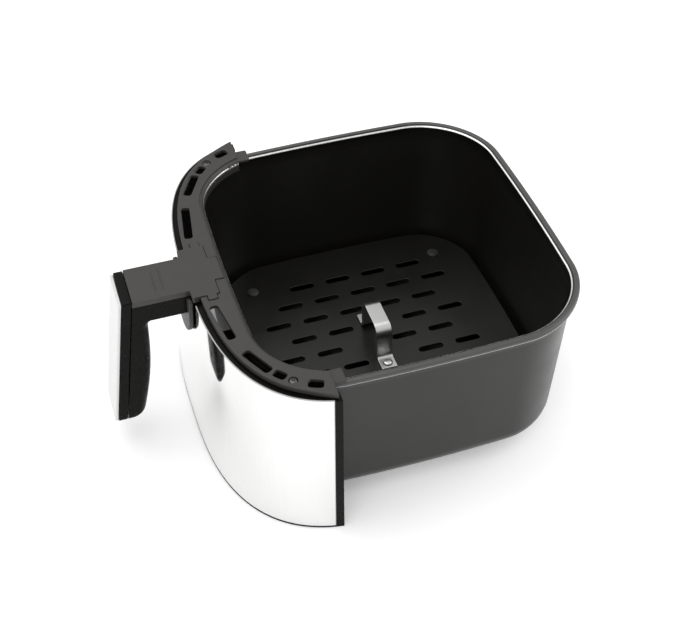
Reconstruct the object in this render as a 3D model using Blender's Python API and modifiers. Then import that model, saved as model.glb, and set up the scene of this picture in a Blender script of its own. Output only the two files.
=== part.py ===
"""Air fryer drawer: a square pan with a rolled rim, hung in a plastic collar behind a steel-skinned
front panel, with a cantilevered handle and a loose crisper plate.

Frame: +Z up, origin at the centre of the pan floor's underside. The handle points along -Y and X
runs across the drawer. All lengths are in metres.
"""

import math

import bmesh
import bpy
import numpy as np
from mathutils import Matrix, Vector

# ---- Fits
GAP = 0.0003  # between pieces that touch
SCREW_PLAY = 0.0003  # round a screw in its hole

# ---- Pan
RIM_HALF_WIDTH = 0.120
RIM_HALF_LENGTH = 0.1145
RIM_CORNER = 0.055
SIDE_BOW = 0.0039  # how far each side bows outward at its middle
PAN_HEIGHT = 0.118
PAN_WALL = 0.0012
PAN_DRAFT = 0.0058  # how much narrower each side is at the floor
PAN_FLOOR_ROUND = 0.016
RIM_FLANGE = 0.004
RIM_LIP = 0.0034
RIM_ROUND = 0.0011

# ---- Front panel's outline, a superellipse cut off at its back
PANEL_HALF_WIDTH = RIM_HALF_WIDTH + 0.0184
PANEL_DEPTH = 0.0966
PANEL_CENTRE_Y = 0.0757 - RIM_HALF_LENGTH
PANEL_POWER = 2.76
PANEL_END_Y = PANEL_CENTRE_Y - 0.0298
PANEL_LEAN = 0.0072  # how far the foot of the panel stands out in front of its top
PANEL_TAPER = 0.0022  # how much narrower each side is at the foot
PANEL_DROP = 0.0093  # how far the panel reaches below the pan

# ---- Shell, skin and collar
SKIN_TOP = PAN_HEIGHT + 0.0006
SKIN_WALL = 0.0008
SKIN_FOOT = 0.0015  # shell's lip under the skin
END_STRIP = 0.0048  # shell's bare strip beside the skin
SHELL_WALL = 0.0025
SHELL_FLANGE = 0.0075
FLANGE_WALL = 0.0022
COLLAR_TOP = SKIN_TOP + 0.0040
DECK_WALL = 0.0026
DECK_INSET = 0.0045  # from the panel's outline to the deck's edge
DECK_FLARE = 0.0030  # how far the deck's edge runs outward again at each end
FLARE_SHARE = 0.10  # of the outline, over which it does so
DECK_END_Y = PANEL_END_Y - 0.0019
SKIRT_WALL = 0.0015
LIP_INSET = 0.0105  # from the rim's outline to the collar's inner lip
LIP_SLOPE = 0.0030
LIP_WALL = 0.0018
LIP_DEPTH = 0.0055  # below the rim's top
LUG_LENGTH = 0.0085
LUG_WIDTH = 0.0120
LUG_HEIGHT = 0.0022

# ---- Vent slots: place across as a share of the panel's half width, length and width
SLOT_LINE = 0.0102  # from the panel's outline to the slots' middle line
SLOTS = ((0.374, 0.0335, 0.0058), (0.6655, 0.0235, 0.0062), (0.775, 0.0088, 0.0062))
END_SLOT = (0.0126, 0.0100, 0.0068)  # distance from the panel's end, length and width
END_SLOT_TURN = math.radians(68)
COLLAR_SCREW = (RIM_HALF_WIDTH - 0.0057, PANEL_END_Y - 0.0250)

# ---- Handle
ARM_HALF_WIDTH = 0.0169
ARM_TOP = COLLAR_TOP + 0.0005
ARM_DEPTH = 0.0187
ARM_INNER_Y = -(RIM_HALF_LENGTH + SIDE_BOW + 0.0006)
ARM_REACH = 0.0387  # from the panel to the seam, at the arm's top
SEAM_Y = PANEL_CENTRE_Y - PANEL_DEPTH - ARM_REACH
FRAME_DEPTH = 0.0065
HANDLE_SLOPE = 0.1507  # how far the handle leans out for each metre down
HANDLE_HEIGHT = 0.1101
HANDLE_BOTTOM = ARM_TOP - HANDLE_HEIGHT
GRIP_TOP_DEPTH = 0.0128  # seam to back of the grip, just under the arm
GRIP_BULGE = 0.0030
GRIP_CORNER = 0.0070
GRIP_FOOT_ROUND = 0.0075
GRIP_SINK = 0.40  # share of the way from the seam to the back where a grip screw's head sits
GRIP_SCREW_SHARES = {"upper": 0.74, "lower": 0.24}  # of the grip's height
TANG_SCREWS = {"front": 0.012, "rear": 0.034}  # distance from the seam
TANG_SCREW_LENGTH = 0.0060
ARM_SCREW_LENGTH = 0.0090
HANDLE_CORNER = 0.0050  # at the handle's foot, seen from the front
ARM_FILLET = 0.0085
FASCIA_WALL = 0.0020
FASCIA_INSET = 0.0007
CHANNEL_HALF_WIDTH = 0.0070
CHANNEL_DEPTH = 0.0060
TANG_WALL = 0.0020

# ---- Arm cover: half width and the y where each step of the T-shaped plate ends
POCKET_DEPTH = 0.0013
YOKE_HALF_WIDTH = 0.0245
EAR_HALF_WIDTH = 0.0292
TONGUE_HALF_WIDTH = 0.0110
EAR_FRONT_Y = ARM_INNER_Y - 0.0068
EAR_BACK_Y = ARM_INNER_Y - 0.0008
PLATE_BACK_Y = ARM_INNER_Y + 0.0013
TONGUE_BACK_Y = ARM_INNER_Y + 0.0073
RIB_HALF_LENGTH = 0.0106
RIB_SIZE = 0.0009
RIB_HEIGHT = 0.0004
RIB_FROM_SEAM = (0.0172, 0.0225)

# ---- Shield at the arm's root
SHIELD_WALL = 0.0030
SHIELD_HEIGHT = 0.0371
SHIELD_BOTTOM = SKIN_TOP - SHIELD_HEIGHT
CUTOUT_HALF_WIDTH = 0.0275
CUTOUT_HEIGHT = 0.0226
CUTOUT_BOTTOM = SKIN_TOP - CUTOUT_HEIGHT

# ---- Crisper plate
PLATE_TOP = 0.0170
PLATE_WALL = 0.0012
PLATE_SKIRT = 0.0070
PLATE_ROUND = 0.0030
PLATE_PLAY = 0.0025
PLATE_SLOT = (0.0190, 0.0050)
PLATE_SLOT_PITCH = (0.0185, 0.0290)
PLATE_SLOT_COUNT = (9, 5)
FOOT_PLACE = (RIM_HALF_WIDTH - 0.0405, RIM_HALF_LENGTH - 0.0405)
FOOT_RADIUS = 0.0060
FOOT_NECK = 0.0028
FOOT_HEAD = 0.0045
FOOT_HEAD_HEIGHT = 0.0018
LOOP_HALF_WIDTH = 0.0170
LOOP_HEIGHT = 0.0270
LOOP_STRAP = 0.0120
LOOP_WALL = 0.0014
LOOP_FOOT = 0.0130
LOOP_BEND = 0.0040
RIVET_RADIUS = 0.0020
RIVET_HEAD = 0.0036

# ---- Brackets between pan and shell
BRACKET_X = 0.0450
BRACKET_HALF_WIDTH = 0.0080
BRACKET_WALL = 0.0015
BRACKET_TOP = PAN_HEIGHT - 0.0180
BRACKET_HEIGHT = 0.0300
BRACKET_REACH = 0.0165
BOSS_RADIUS = 0.0035
BOSS_RIB = 0.0030
BOSS_HEIGHT = 0.0180
BOSS_SCREW_LENGTH = 0.0108
SCREW_RADIUS = 0.0014
SCREW_HEAD = 0.0027
SCREW_HEAD_HEIGHT = 0.0014

# ---- Fineness
CORNER_STEPS = 8
SIDE_STEPS = 6
ARC_STEPS = 4
PANEL_STATIONS = 45
RUN_POINTS = 1200
TURN_STEPS = 16
SMALL_TURN_STEPS = 12

# ---- Worked out from the above
PANEL_BOTTOM = -PANEL_DROP
LEDGE_TOP = SKIN_TOP - GAP
DECK_UNDERSIDE = COLLAR_TOP - DECK_WALL
POCKET_FLOOR = COLLAR_TOP - POCKET_DEPTH
ARM_BOTTOM = ARM_TOP - ARM_DEPTH
ARM_CORE_TOP = LEDGE_TOP
COVER_BOTTOM = ARM_CORE_TOP + GAP
CUT_PAST = 0.0100  # how far a cutter runs past what it cuts
# From an outline of (y, z) points, thickened both ways, to the drawer's own frame
SIDE_VIEW = Matrix.Rotation(math.pi / 2, 4, "Z") @ Matrix.Rotation(math.pi / 2, 4, "X")

PARTS = "air_fryer_drawer"
CUTTERS = "cutters"


# ---- Scene helpers


def clear_scene():
    for obj in list(bpy.data.objects):
        bpy.data.objects.remove(obj, do_unlink=True)


def make_collection(name):
    collection = bpy.data.collections.new(name)
    bpy.context.scene.collection.children.link(collection)
    return collection


def make_material(name, colour, roughness, metallic=0.0):
    material = bpy.data.materials.new(name)
    material.use_nodes = True
    shader = material.node_tree.nodes["Principled BSDF"]
    shader.inputs["Base Color"].default_value = (*colour, 1.0)
    shader.inputs["Roughness"].default_value = roughness
    shader.inputs["Metallic"].default_value = metallic
    return material


def add_object(name, mesh, material=None):
    """A part in the parts collection, or a hidden cutter where there is no material."""
    obj = bpy.data.objects.new(name, mesh)
    collection = PARTS if material else CUTTERS
    bpy.data.collections[collection].objects.link(obj)
    if material:
        mesh.materials.append(material)
        mesh.shade_smooth()
        mesh.set_sharp_from_angle(angle=math.radians(35))
    else:
        obj.hide_render = True
        obj.display_type = "WIRE"
    return obj


def mesh_from(name, build):
    """A mesh that build fills through a bmesh, with its faces turned outward."""
    shape = bmesh.new()
    build(shape)
    bmesh.ops.recalc_face_normals(shape, faces=shape.faces)
    mesh = bpy.data.meshes.new(name)
    shape.to_mesh(mesh)
    shape.free()
    return mesh


def boolean(obj, other, operation):
    modifier = obj.modifiers.new(operation.lower(), "BOOLEAN")
    modifier.operation = operation
    modifier.solver = "EXACT"
    modifier.object = other


def cut(obj, cutter):
    boolean(obj, cutter, "DIFFERENCE")


def join(obj, other):
    boolean(obj, other, "UNION")


# ---- Shape helpers


def loft(name, rings, material=None):
    """A closed body through rings of equal point count, with its first and last ring filled."""

    def build(shape):
        rows = [[shape.verts.new(point) for point in ring] for ring in rings]
        count = len(rows[0])
        for low, high in zip(rows, rows[1:]):
            for i in range(count):
                j = (i + 1) % count
                shape.faces.new((low[i], low[j], high[j], high[i]))
        shape.faces.new(rows[0])
        shape.faces.new(rows[-1])

    return add_object(name, mesh_from(name, build), material)


def outline_solid(name, outline, thickness, matrix, material=None):
    """A flat 2D outline as a filled curve, thickened both ways about its plane, as a mesh object."""
    curve = bpy.data.curves.new(name, "CURVE")
    curve.dimensions = "2D"
    curve.fill_mode = "BOTH"
    curve.extrude = thickness / 2
    spline = curve.splines.new("POLY")
    spline.points.add(len(outline) - 1)
    for point, (x, y) in zip(spline.points, outline):
        point.co = (x, y, 0, 1)
    spline.use_cyclic_u = True
    source = bpy.data.objects.new(name + "_curve", curve)
    bpy.context.scene.collection.objects.link(source)
    mesh = bpy.data.meshes.new_from_object(source.evaluated_get(bpy.context.evaluated_depsgraph_get()))
    bpy.data.objects.remove(source)
    shape = bmesh.new()
    shape.from_mesh(mesh)
    bmesh.ops.remove_doubles(shape, verts=shape.verts, dist=1e-6)
    bmesh.ops.recalc_face_normals(shape, faces=shape.faces)
    shape.to_mesh(mesh)
    shape.free()
    mesh.transform(matrix)
    return add_object(name, mesh, material)


def box(name, low, high, material=None):
    middle = [(a + b) / 2 for a, b in zip(low, high)]
    size = [b - a for a, b in zip(low, high)]

    def build(shape):
        bmesh.ops.create_cube(shape, size=1.0)
        bmesh.ops.scale(shape, vec=size, verts=shape.verts)

    obj = add_object(name, mesh_from(name, build), material)
    obj.location = middle
    return obj


def rod(name, radius, start, end, steps=TURN_STEPS):
    """A cylinder between two points, as a cutter or as stock to join."""
    start, end = Vector(start), Vector(end)

    def build(shape):
        bmesh.ops.create_cone(shape, cap_ends=True, segments=steps, radius1=radius, radius2=radius,
                              depth=(end - start).length)

    obj = add_object(name, mesh_from(name, build))
    obj.location = (start + end) / 2
    obj.rotation_mode = "QUATERNION"
    obj.rotation_quaternion = (end - start).to_track_quat("Z", "Y")
    return obj


def turned(name, profile, material, steps=TURN_STEPS):
    """A body turned about Z from a profile of (radius, height) that runs down its outer side."""
    mesh = bpy.data.meshes.new(name)
    points = [(radius, 0, height) for radius, height in profile]
    mesh.from_pydata(points, [(i, i + 1) for i in range(len(points) - 1)], [])
    obj = add_object(name, mesh, material)
    screw = obj.modifiers.new("turn", "SCREW")
    screw.angle = math.tau
    screw.steps = screw.render_steps = steps
    screw.use_merge_vertices = True
    screw.merge_threshold = 1e-6
    return obj


def arc(centre, radius, start, end, steps):
    """Points on an arc between two angles in degrees."""
    angles = [math.radians(start + (end - start) * i / steps) for i in range(steps + 1)]
    return [(centre[0] + radius * math.cos(a), centre[1] + radius * math.sin(a)) for a in angles]


def capsule(length, width, steps=ARC_STEPS):
    """The outline of a slot with round ends, along X about the origin."""
    radius = width / 2
    reach = max(length / 2 - radius, 0)
    return arc((reach, 0), radius, -90, 90, steps) + arc((-reach, 0), radius, 90, 270, steps)


def evenly(points, count):
    """That many points, evenly spaced along a line of points."""
    points = np.array(points)
    along = np.concatenate([[0], np.cumsum(np.linalg.norm(np.diff(points, axis=0), axis=1))])
    places = np.linspace(0, along[-1], count)
    return [tuple(np.interp(s, along, points[:, k]) for k in range(points.shape[1])) for s in places]


# ---- Outlines in plan


def bowed(x, y, half_width, half_length):
    """A point of the rim's rounded rectangle, moved outward by the bow of its side."""
    across, along = x / half_width, y / half_length
    dx = math.copysign(SIDE_BOW * max(0, 1 - along**2) * across**2, x)
    dy = math.copysign(SIDE_BOW * max(0, 1 - across**2) * along**2, y)
    return x + dx, y + dy


def pan_outline(inset):
    """The closed outline that lies that far inside the rim's outer edge."""
    half_width, half_length = RIM_HALF_WIDTH - inset, RIM_HALF_LENGTH - inset
    corner = RIM_CORNER - inset
    points = []
    centres = ((1, 1, 0), (-1, 1, 90), (-1, -1, 180), (1, -1, 270))
    for sign_x, sign_y, start in centres:
        centre = (sign_x * (half_width - corner), sign_y * (half_length - corner))
        points += arc(centre, corner, start, start + 90, CORNER_STEPS)
        last = points[-1]
        turn = math.radians(start + 90)
        side = 2 * ((half_width if start % 180 == 0 else half_length) - corner)
        for i in range(1, SIDE_STEPS):
            reach = side * i / SIDE_STEPS
            points.append((last[0] - math.sin(turn) * reach, last[1] + math.cos(turn) * reach))
    return [bowed(x, y, half_width, half_length) for x, y in points]


def ring(outline, z):
    return [(x, y, z) for x, y in outline]


def pan_wall_inset(z):
    """How far the pan's outer wall lies inside the rim's outline at a height."""
    share = (PAN_HEIGHT - z) / (PAN_HEIGHT - PAN_FLOOR_ROUND)
    return RIM_FLANGE + PAN_DRAFT * min(1, share)


def pan_front_y(x, z):
    """Where the pan's front wall is, at a place across it and a height."""
    inset = pan_wall_inset(z)
    return bowed(x, -(RIM_HALF_LENGTH - inset), RIM_HALF_WIDTH - inset, RIM_HALF_LENGTH - inset)[1]


def panel_size(z):
    """The superellipse's half width and depth at a height."""
    share = (SKIN_TOP - z) / (SKIN_TOP - PANEL_BOTTOM)
    return PANEL_HALF_WIDTH - PANEL_TAPER * share, PANEL_DEPTH + PANEL_LEAN * share


def superellipse(angle, half_width, depth):
    cosine, sine = math.cos(angle), math.sin(angle)
    x = math.copysign(half_width * abs(cosine) ** (2 / PANEL_POWER), cosine)
    return x, PANEL_CENTRE_Y - depth * abs(sine) ** (2 / PANEL_POWER)


def end_angle(depth, end_y):
    return math.asin(((PANEL_CENTRE_Y - end_y) / depth) ** (PANEL_POWER / 2))


def station_shares(count):
    """Shares of the angle, from one end of the panel to the other, that lie evenly along it."""
    first = end_angle(PANEL_DEPTH, PANEL_END_Y)
    shares = np.linspace(0, 1, 2001)
    angles = first + (math.pi - 2 * first) * shares
    points = np.array([superellipse(a, PANEL_HALF_WIDTH, PANEL_DEPTH) for a in angles])
    along = np.concatenate([[0], np.cumsum(np.linalg.norm(np.diff(points, axis=0), axis=1))])
    return [float(np.interp(s, along, shares)) for s in np.linspace(0, along[-1], count)], along[-1]


def panel_point(share, inset, z, end_y=PANEL_END_Y):
    half_width, depth = panel_size(z)
    first = end_angle(depth - inset, end_y)
    angle = first + (math.pi - 2 * first) * share
    return superellipse(angle, half_width - inset, depth - inset)


def panel_y(x, inset, z):
    """Where the panel's front is, at a place across it, an inset and a height."""
    half_width, depth = panel_size(z)
    across = abs(x) / (half_width - inset)
    return PANEL_CENTRE_Y - (depth - inset) * (1 - across**PANEL_POWER) ** (1 / PANEL_POWER)


def slot_place(x):
    """The point of the slots' line at a place across the drawer, and the line's direction there."""
    step = 1e-4
    y = panel_y(x, SLOT_LINE, COLLAR_TOP)
    slope = (panel_y(x + step, SLOT_LINE, COLLAR_TOP) - y) / step
    return (x, y), math.atan(slope)


# ---- Pan


def build_pan(material):
    inner_round = PAN_FLOOR_ROUND - PAN_WALL
    foot = RIM_FLANGE + PAN_DRAFT
    top = PAN_HEIGHT
    profile = []
    for x, z in arc((0, PAN_FLOOR_ROUND), inner_round, 270, 180, ARC_STEPS):
        profile.append((foot + PAN_WALL + inner_round + x, z))
    throat = RIM_FLANGE + PAN_WALL
    profile += [(throat - x, z) for x, z in arc((RIM_ROUND, top - RIM_ROUND), RIM_ROUND, 180, 90, 2)]
    profile += [(-x, z) for x, z in arc((-RIM_ROUND, top - RIM_ROUND), RIM_ROUND, 90, 0, 2)]
    profile += [(0, top - RIM_LIP), (PAN_WALL, top - RIM_LIP), (PAN_WALL, top - PAN_WALL)]
    profile += [(RIM_FLANGE, top - PAN_WALL)]
    for x, z in arc((0, PAN_FLOOR_ROUND), PAN_FLOOR_ROUND, 180, 270, ARC_STEPS):
        profile.append((foot + PAN_FLOOR_ROUND + x, z))
    return loft("pan", [ring(pan_outline(inset), z) for inset, z in profile], material)


def build_bracket(side, material):
    """An angle strip: its long leg lies on the pan's front wall and its short leg reaches forward."""
    name = f"pan_bracket_{side}"
    x = BRACKET_X * (1 if side == "right" else -1)
    play = 2 * GAP  # the wall bows a little across the strip
    low = BRACKET_TOP - BRACKET_HEIGHT
    top_y = pan_front_y(x, BRACKET_TOP) - play
    low_y = pan_front_y(x, low) - play
    reach_y = top_y - BRACKET_REACH
    outline = [
        (top_y, BRACKET_TOP),
        (low_y, low),
        (low_y - BRACKET_WALL, low),
        (top_y - BRACKET_WALL, BRACKET_TOP - BRACKET_WALL),
        (reach_y, BRACKET_TOP - BRACKET_WALL),
        (reach_y, BRACKET_TOP),
    ]
    bracket = outline_solid(name, outline, 2 * BRACKET_HALF_WIDTH, Matrix.Translation((x, 0, 0)) @ SIDE_VIEW,
                            material)
    boss = bracket_boss(x)
    hole = rod(f"{name}_hole", SCREW_RADIUS + SCREW_PLAY, (boss[0], boss[1], low),
               (boss[0], boss[1], BRACKET_TOP + CUT_PAST))
    cut(bracket, hole)
    return bracket


def bracket_boss(x):
    """Where the shell's boss for a bracket stands: near the end of the bracket's short leg."""
    y = pan_front_y(x, BRACKET_TOP) - BRACKET_REACH + BOSS_RADIUS
    return x, y


def build_screw(name, place, head_z, length, material, head_height=SCREW_HEAD_HEIGHT):
    """A pan-head screw that points down, with the underside of its head at head_z."""
    profile = [
        (0, head_height),
        (SCREW_HEAD * 0.75, head_height),
        (SCREW_HEAD, head_height * 0.45),
        (SCREW_HEAD, 0),
        (SCREW_RADIUS, 0),
        (SCREW_RADIUS, -length),
        (0, -length - SCREW_RADIUS),
    ]
    screw = turned(name, profile, material, steps=SMALL_TURN_STEPS)
    screw.location = (place[0], place[1], head_z)
    return screw


# ---- Crisper plate


def plate_inset(z):
    return pan_wall_inset(z) + PAN_WALL + PLATE_PLAY


def plate_slot_places():
    """Slots in staggered rows, leaving out the ones that meet a foot or the lifting loop."""
    columns, rows = PLATE_SLOT_COUNT
    pitch_x, pitch_y = PLATE_SLOT_PITCH
    length, width = PLATE_SLOT
    places = []
    for column in range(columns):
        shift = pitch_y / 2 if column % 2 else 0
        for row in range(rows):
            x = (column - (columns - 1) / 2) * pitch_x
            y = (row - (rows - 1) / 2) * pitch_y + shift - pitch_y / 4
            margin = FOOT_HEAD + width
            near_foot = (abs(abs(x) - FOOT_PLACE[0]) < margin
                         and abs(abs(y) - FOOT_PLACE[1]) < margin + length / 2)
            loop_reach = LOOP_HALF_WIDTH + LOOP_FOOT + width
            near_loop = abs(x) < loop_reach and abs(y) < LOOP_STRAP / 2 + length / 2
            if not (near_foot or near_loop):
                places.append((x, y))
    return places


def build_crisper_plate(material):
    inset = plate_inset(PLATE_TOP - PLATE_SKIRT)
    low = PLATE_TOP - PLATE_SKIRT
    inner_round = PLATE_ROUND - PLATE_WALL
    profile = [(inset + PLATE_ROUND, PLATE_TOP - PLATE_WALL)]
    profile += [(inset + PLATE_WALL, PLATE_TOP - PLATE_WALL - inner_round), (inset + PLATE_WALL, low)]
    profile += [(inset, low)]
    profile += [(inset + PLATE_ROUND + x, z)
                for x, z in arc((0, PLATE_TOP - PLATE_ROUND), PLATE_ROUND, 180, 90, 2)]
    plate = loft("crisper_plate", [ring(pan_outline(d), z) for d, z in profile], material)

    def build(shape):
        for x, y in plate_slot_places():
            outline = [(x - b, y + a) for a, b in capsule(*PLATE_SLOT, steps=3)]
            low_row = [shape.verts.new((a, b, PLATE_TOP - PLATE_ROUND)) for a, b in outline]
            high_row = [shape.verts.new((a, b, PLATE_TOP + PLATE_ROUND)) for a, b in outline]
            shape.faces.new(low_row)
            shape.faces.new(high_row)
            for i in range(len(outline)):
                j = (i + 1) % len(outline)
                shape.faces.new((low_row[i], low_row[j], high_row[j], high_row[i]))

    cut(plate, add_object("plate_slots", mesh_from("plate_slots", build)))
    for i, (x, y) in enumerate(foot_places().values()):
        past = PLATE_TOP + CUT_PAST
        cut(plate, rod(f"foot_hole_{i}", FOOT_NECK + GAP, (x, y, low), (x, y, past), SMALL_TURN_STEPS))
    for side, x in rivet_places().items():
        past = PLATE_TOP + CUT_PAST
        cut(plate, rod(f"rivet_hole_{side}", RIVET_RADIUS + GAP, (x, 0, low), (x, 0, past), SMALL_TURN_STEPS))
    return plate


def foot_places():
    x, y = FOOT_PLACE
    return {"front_left": (-x, -y), "front_right": (x, -y), "rear_left": (-x, y), "rear_right": (x, y)}


def build_foot(corner, place, material):
    """A silicone foot: a disc under the plate, a neck through it and a domed head on top."""
    floor = PAN_WALL + GAP
    under = PLATE_TOP - PLATE_WALL - GAP
    over = PLATE_TOP + GAP
    profile = [
        (0, over + FOOT_HEAD_HEIGHT),
        (FOOT_HEAD * 0.7, over + FOOT_HEAD_HEIGHT * 0.7),
        (FOOT_HEAD, over),
        (FOOT_NECK, over),
        (FOOT_NECK, under),
        (FOOT_RADIUS, under),
        (FOOT_RADIUS * 0.85, floor),
        (0, floor),
    ]
    foot = turned(f"plate_foot_{corner}", profile, material)
    foot.location = (place[0], place[1], 0)
    return foot


def rivet_places():
    reach = LOOP_HALF_WIDTH + LOOP_FOOT * 0.6
    return {"left": -reach, "right": reach}


def build_lift_loop(material):
    """A flat strap bent up into a loop, with its feet on the plate."""
    base = PLATE_TOP + GAP + LOOP_WALL / 2
    top = base + LOOP_HEIGHT
    side = LOOP_HALF_WIDTH
    half = [(side + LOOP_FOOT, base)]
    half += arc((side + LOOP_BEND, base + LOOP_BEND), LOOP_BEND, 270, 180, 3)
    half += arc((side - 2 * LOOP_BEND, top - 2 * LOOP_BEND), 2 * LOOP_BEND, 0, 90, 4)
    line = half + [(-x, z) for x, z in reversed(half)]

    def build(shape):
        rows = [[shape.verts.new((x, y, z)) for y in (-LOOP_STRAP / 2, LOOP_STRAP / 2)] for x, z in line]
        for low, high in zip(rows, rows[1:]):
            shape.faces.new((low[0], low[1], high[1], high[0]))

    loop = add_object("lift_loop", mesh_from("lift_loop", build), material)
    solid = loop.modifiers.new("thickness", "SOLIDIFY")
    solid.thickness = LOOP_WALL
    solid.offset = 0
    solid.use_even_offset = True
    for side, x in rivet_places().items():
        ends = (x, 0, base - CUT_PAST), (x, 0, base + CUT_PAST)
        cut(loop, rod(f"loop_hole_{side}", RIVET_RADIUS + GAP, *ends, SMALL_TURN_STEPS))
    return loop


def build_rivet(side, x, material):
    over = PLATE_TOP + LOOP_WALL + 2 * GAP
    under = PLATE_TOP - PLATE_WALL - GAP
    profile = [
        (0, over + RIVET_RADIUS * 0.6),
        (RIVET_HEAD * 0.7, over + RIVET_RADIUS * 0.45),
        (RIVET_HEAD, over),
        (RIVET_RADIUS, over),
        (RIVET_RADIUS, under),
        (RIVET_HEAD, under),
        (RIVET_HEAD * 0.8, under - RIVET_RADIUS * 0.4),
        (0, under - RIVET_RADIUS * 0.4),
    ]
    rivet = turned(f"loop_rivet_{side}", profile, material, steps=SMALL_TURN_STEPS)
    rivet.location = (x, 0, 0)
    return rivet


# ---- Front panel


def build_front_shell(material):
    """The wall behind the skin: a foot lip, end strips level with the skin, and a top flange."""
    count = PANEL_STATIONS
    shares, length = station_shares(count)
    strip = np.interp(END_STRIP / length, np.linspace(0, 1, count), shares)
    step = 1e-4 / length
    bare = [s for s in shares if strip < s < 1 - strip]
    stations = [(0.0, 0.0), (strip - step, 0.0), (strip, SKIN_WALL + GAP)]
    stations += [(s, SKIN_WALL + GAP) for s in bare]
    stations += [(1 - strip, SKIN_WALL + GAP), (1 - strip + step, 0.0), (1.0, 0.0)]
    rings = []
    for share, recess in stations:
        inner = SKIN_WALL + GAP + SHELL_WALL
        profile = [
            (0.0, PANEL_BOTTOM),
            (0.0, PANEL_BOTTOM + SKIN_FOOT),
            (recess, PANEL_BOTTOM + SKIN_FOOT),
            (recess, LEDGE_TOP),
            (SHELL_FLANGE, LEDGE_TOP),
            (SHELL_FLANGE, LEDGE_TOP - FLANGE_WALL),
            (inner, LEDGE_TOP - FLANGE_WALL),
            (inner, PANEL_BOTTOM),
        ]
        if recess == 0.0:
            # The bare strip needs the same number of points, so its recess is only a hair deep.
            profile[2] = (step * length, PANEL_BOTTOM + SKIN_FOOT)
            profile[3] = (step * length, LEDGE_TOP)
        rings.append([(*panel_point(share, inset, z), z) for inset, z in profile])
    shell = loft("front_shell", rings, material)
    for side, sign in (("left", -1), ("right", 1)):
        x, y = COLLAR_SCREW
        top = LEDGE_TOP - GAP
        x *= sign
        join(shell, rod(f"collar_boss_{side}", BOSS_RADIUS, (x, y, top - BOSS_HEIGHT), (x, y, top)))
        x, y = bracket_boss(sign * BRACKET_X)
        top = BRACKET_TOP - BRACKET_WALL - GAP
        join(shell, rod(f"bracket_boss_{side}", BOSS_RADIUS, (x, y, top - BOSS_HEIGHT), (x, y, top)))
        front = panel_y(x, SKIN_WALL + GAP + SHELL_WALL / 2, top)
        join(shell, box(f"bracket_rib_{side}", (x - BOSS_RIB / 2, front, top - BOSS_HEIGHT * 0.9),
                        (x + BOSS_RIB / 2, y, top - GAP)))
    for side, sign in (("left", -1), ("right", 1)):
        for label, (x, y) in (("collar", (sign * COLLAR_SCREW[0], COLLAR_SCREW[1])),
                              ("bracket", bracket_boss(sign * BRACKET_X))):
            top = LEDGE_TOP if label == "collar" else BRACKET_TOP
            low = top - BOSS_HEIGHT * 0.85
            ends = (x, y, low), (x, y, top + CUT_PAST)
            cut(shell, rod(f"{label}_bore_{side}", SCREW_RADIUS + SCREW_PLAY, *ends))
    reach = ARM_HALF_WIDTH + GAP
    front = panel_y(0, 0, PANEL_BOTTOM) - CUT_PAST
    notch = box("shell_notch", (-reach, front, ARM_BOTTOM - GAP), (reach, ARM_INNER_Y, COLLAR_TOP))
    cut(shell, notch)
    return shell


def build_steel_skin(material):
    count = PANEL_STATIONS
    shares, length = station_shares(count)
    strip = np.interp((END_STRIP + GAP) / length, np.linspace(0, 1, count), shares)
    stations = [strip] + [s for s in shares if strip < s < 1 - strip] + [1 - strip]
    low = PANEL_BOTTOM + SKIN_FOOT + GAP
    profile = [(0.0, low), (0.0, SKIN_TOP), (SKIN_WALL, SKIN_TOP), (SKIN_WALL, low)]
    rings = [[(*panel_point(share, inset, z), z) for inset, z in profile] for share in stations]
    skin = loft("steel_skin", rings, material)
    front = panel_y(0, 0, PANEL_BOTTOM) - CUT_PAST
    cutout = box("skin_cutout", (-CUTOUT_HALF_WIDTH, front, CUTOUT_BOTTOM),
                 (CUTOUT_HALF_WIDTH, ARM_INNER_Y, COLLAR_TOP))
    cut(skin, cutout)
    return skin


def deck_inset(share):
    """From the panel's outline to the deck's edge, which flares outward towards each end."""
    reach = max(0.0, 1 - min(share, 1 - share) / FLARE_SHARE)
    return DECK_INSET - DECK_FLARE * reach**2


def front_run(inset, end_y):
    """The part of a rim outline in front of end_y, from the right end to the left end."""
    outline = pan_outline(inset)
    fine = evenly(outline + outline[:1], RUN_POINTS)
    right = [p for p in fine if p[1] <= end_y and p[0] >= 0]
    run = sorted(right, key=lambda p: math.atan2(p[1], p[0]), reverse=True)
    top = (float(np.interp(end_y, [run[1][1], run[0][1]], [run[1][0], run[0][0]])), end_y)
    run = [top] + run
    return run + [(-x, y) for x, y in reversed(run)]


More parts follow.
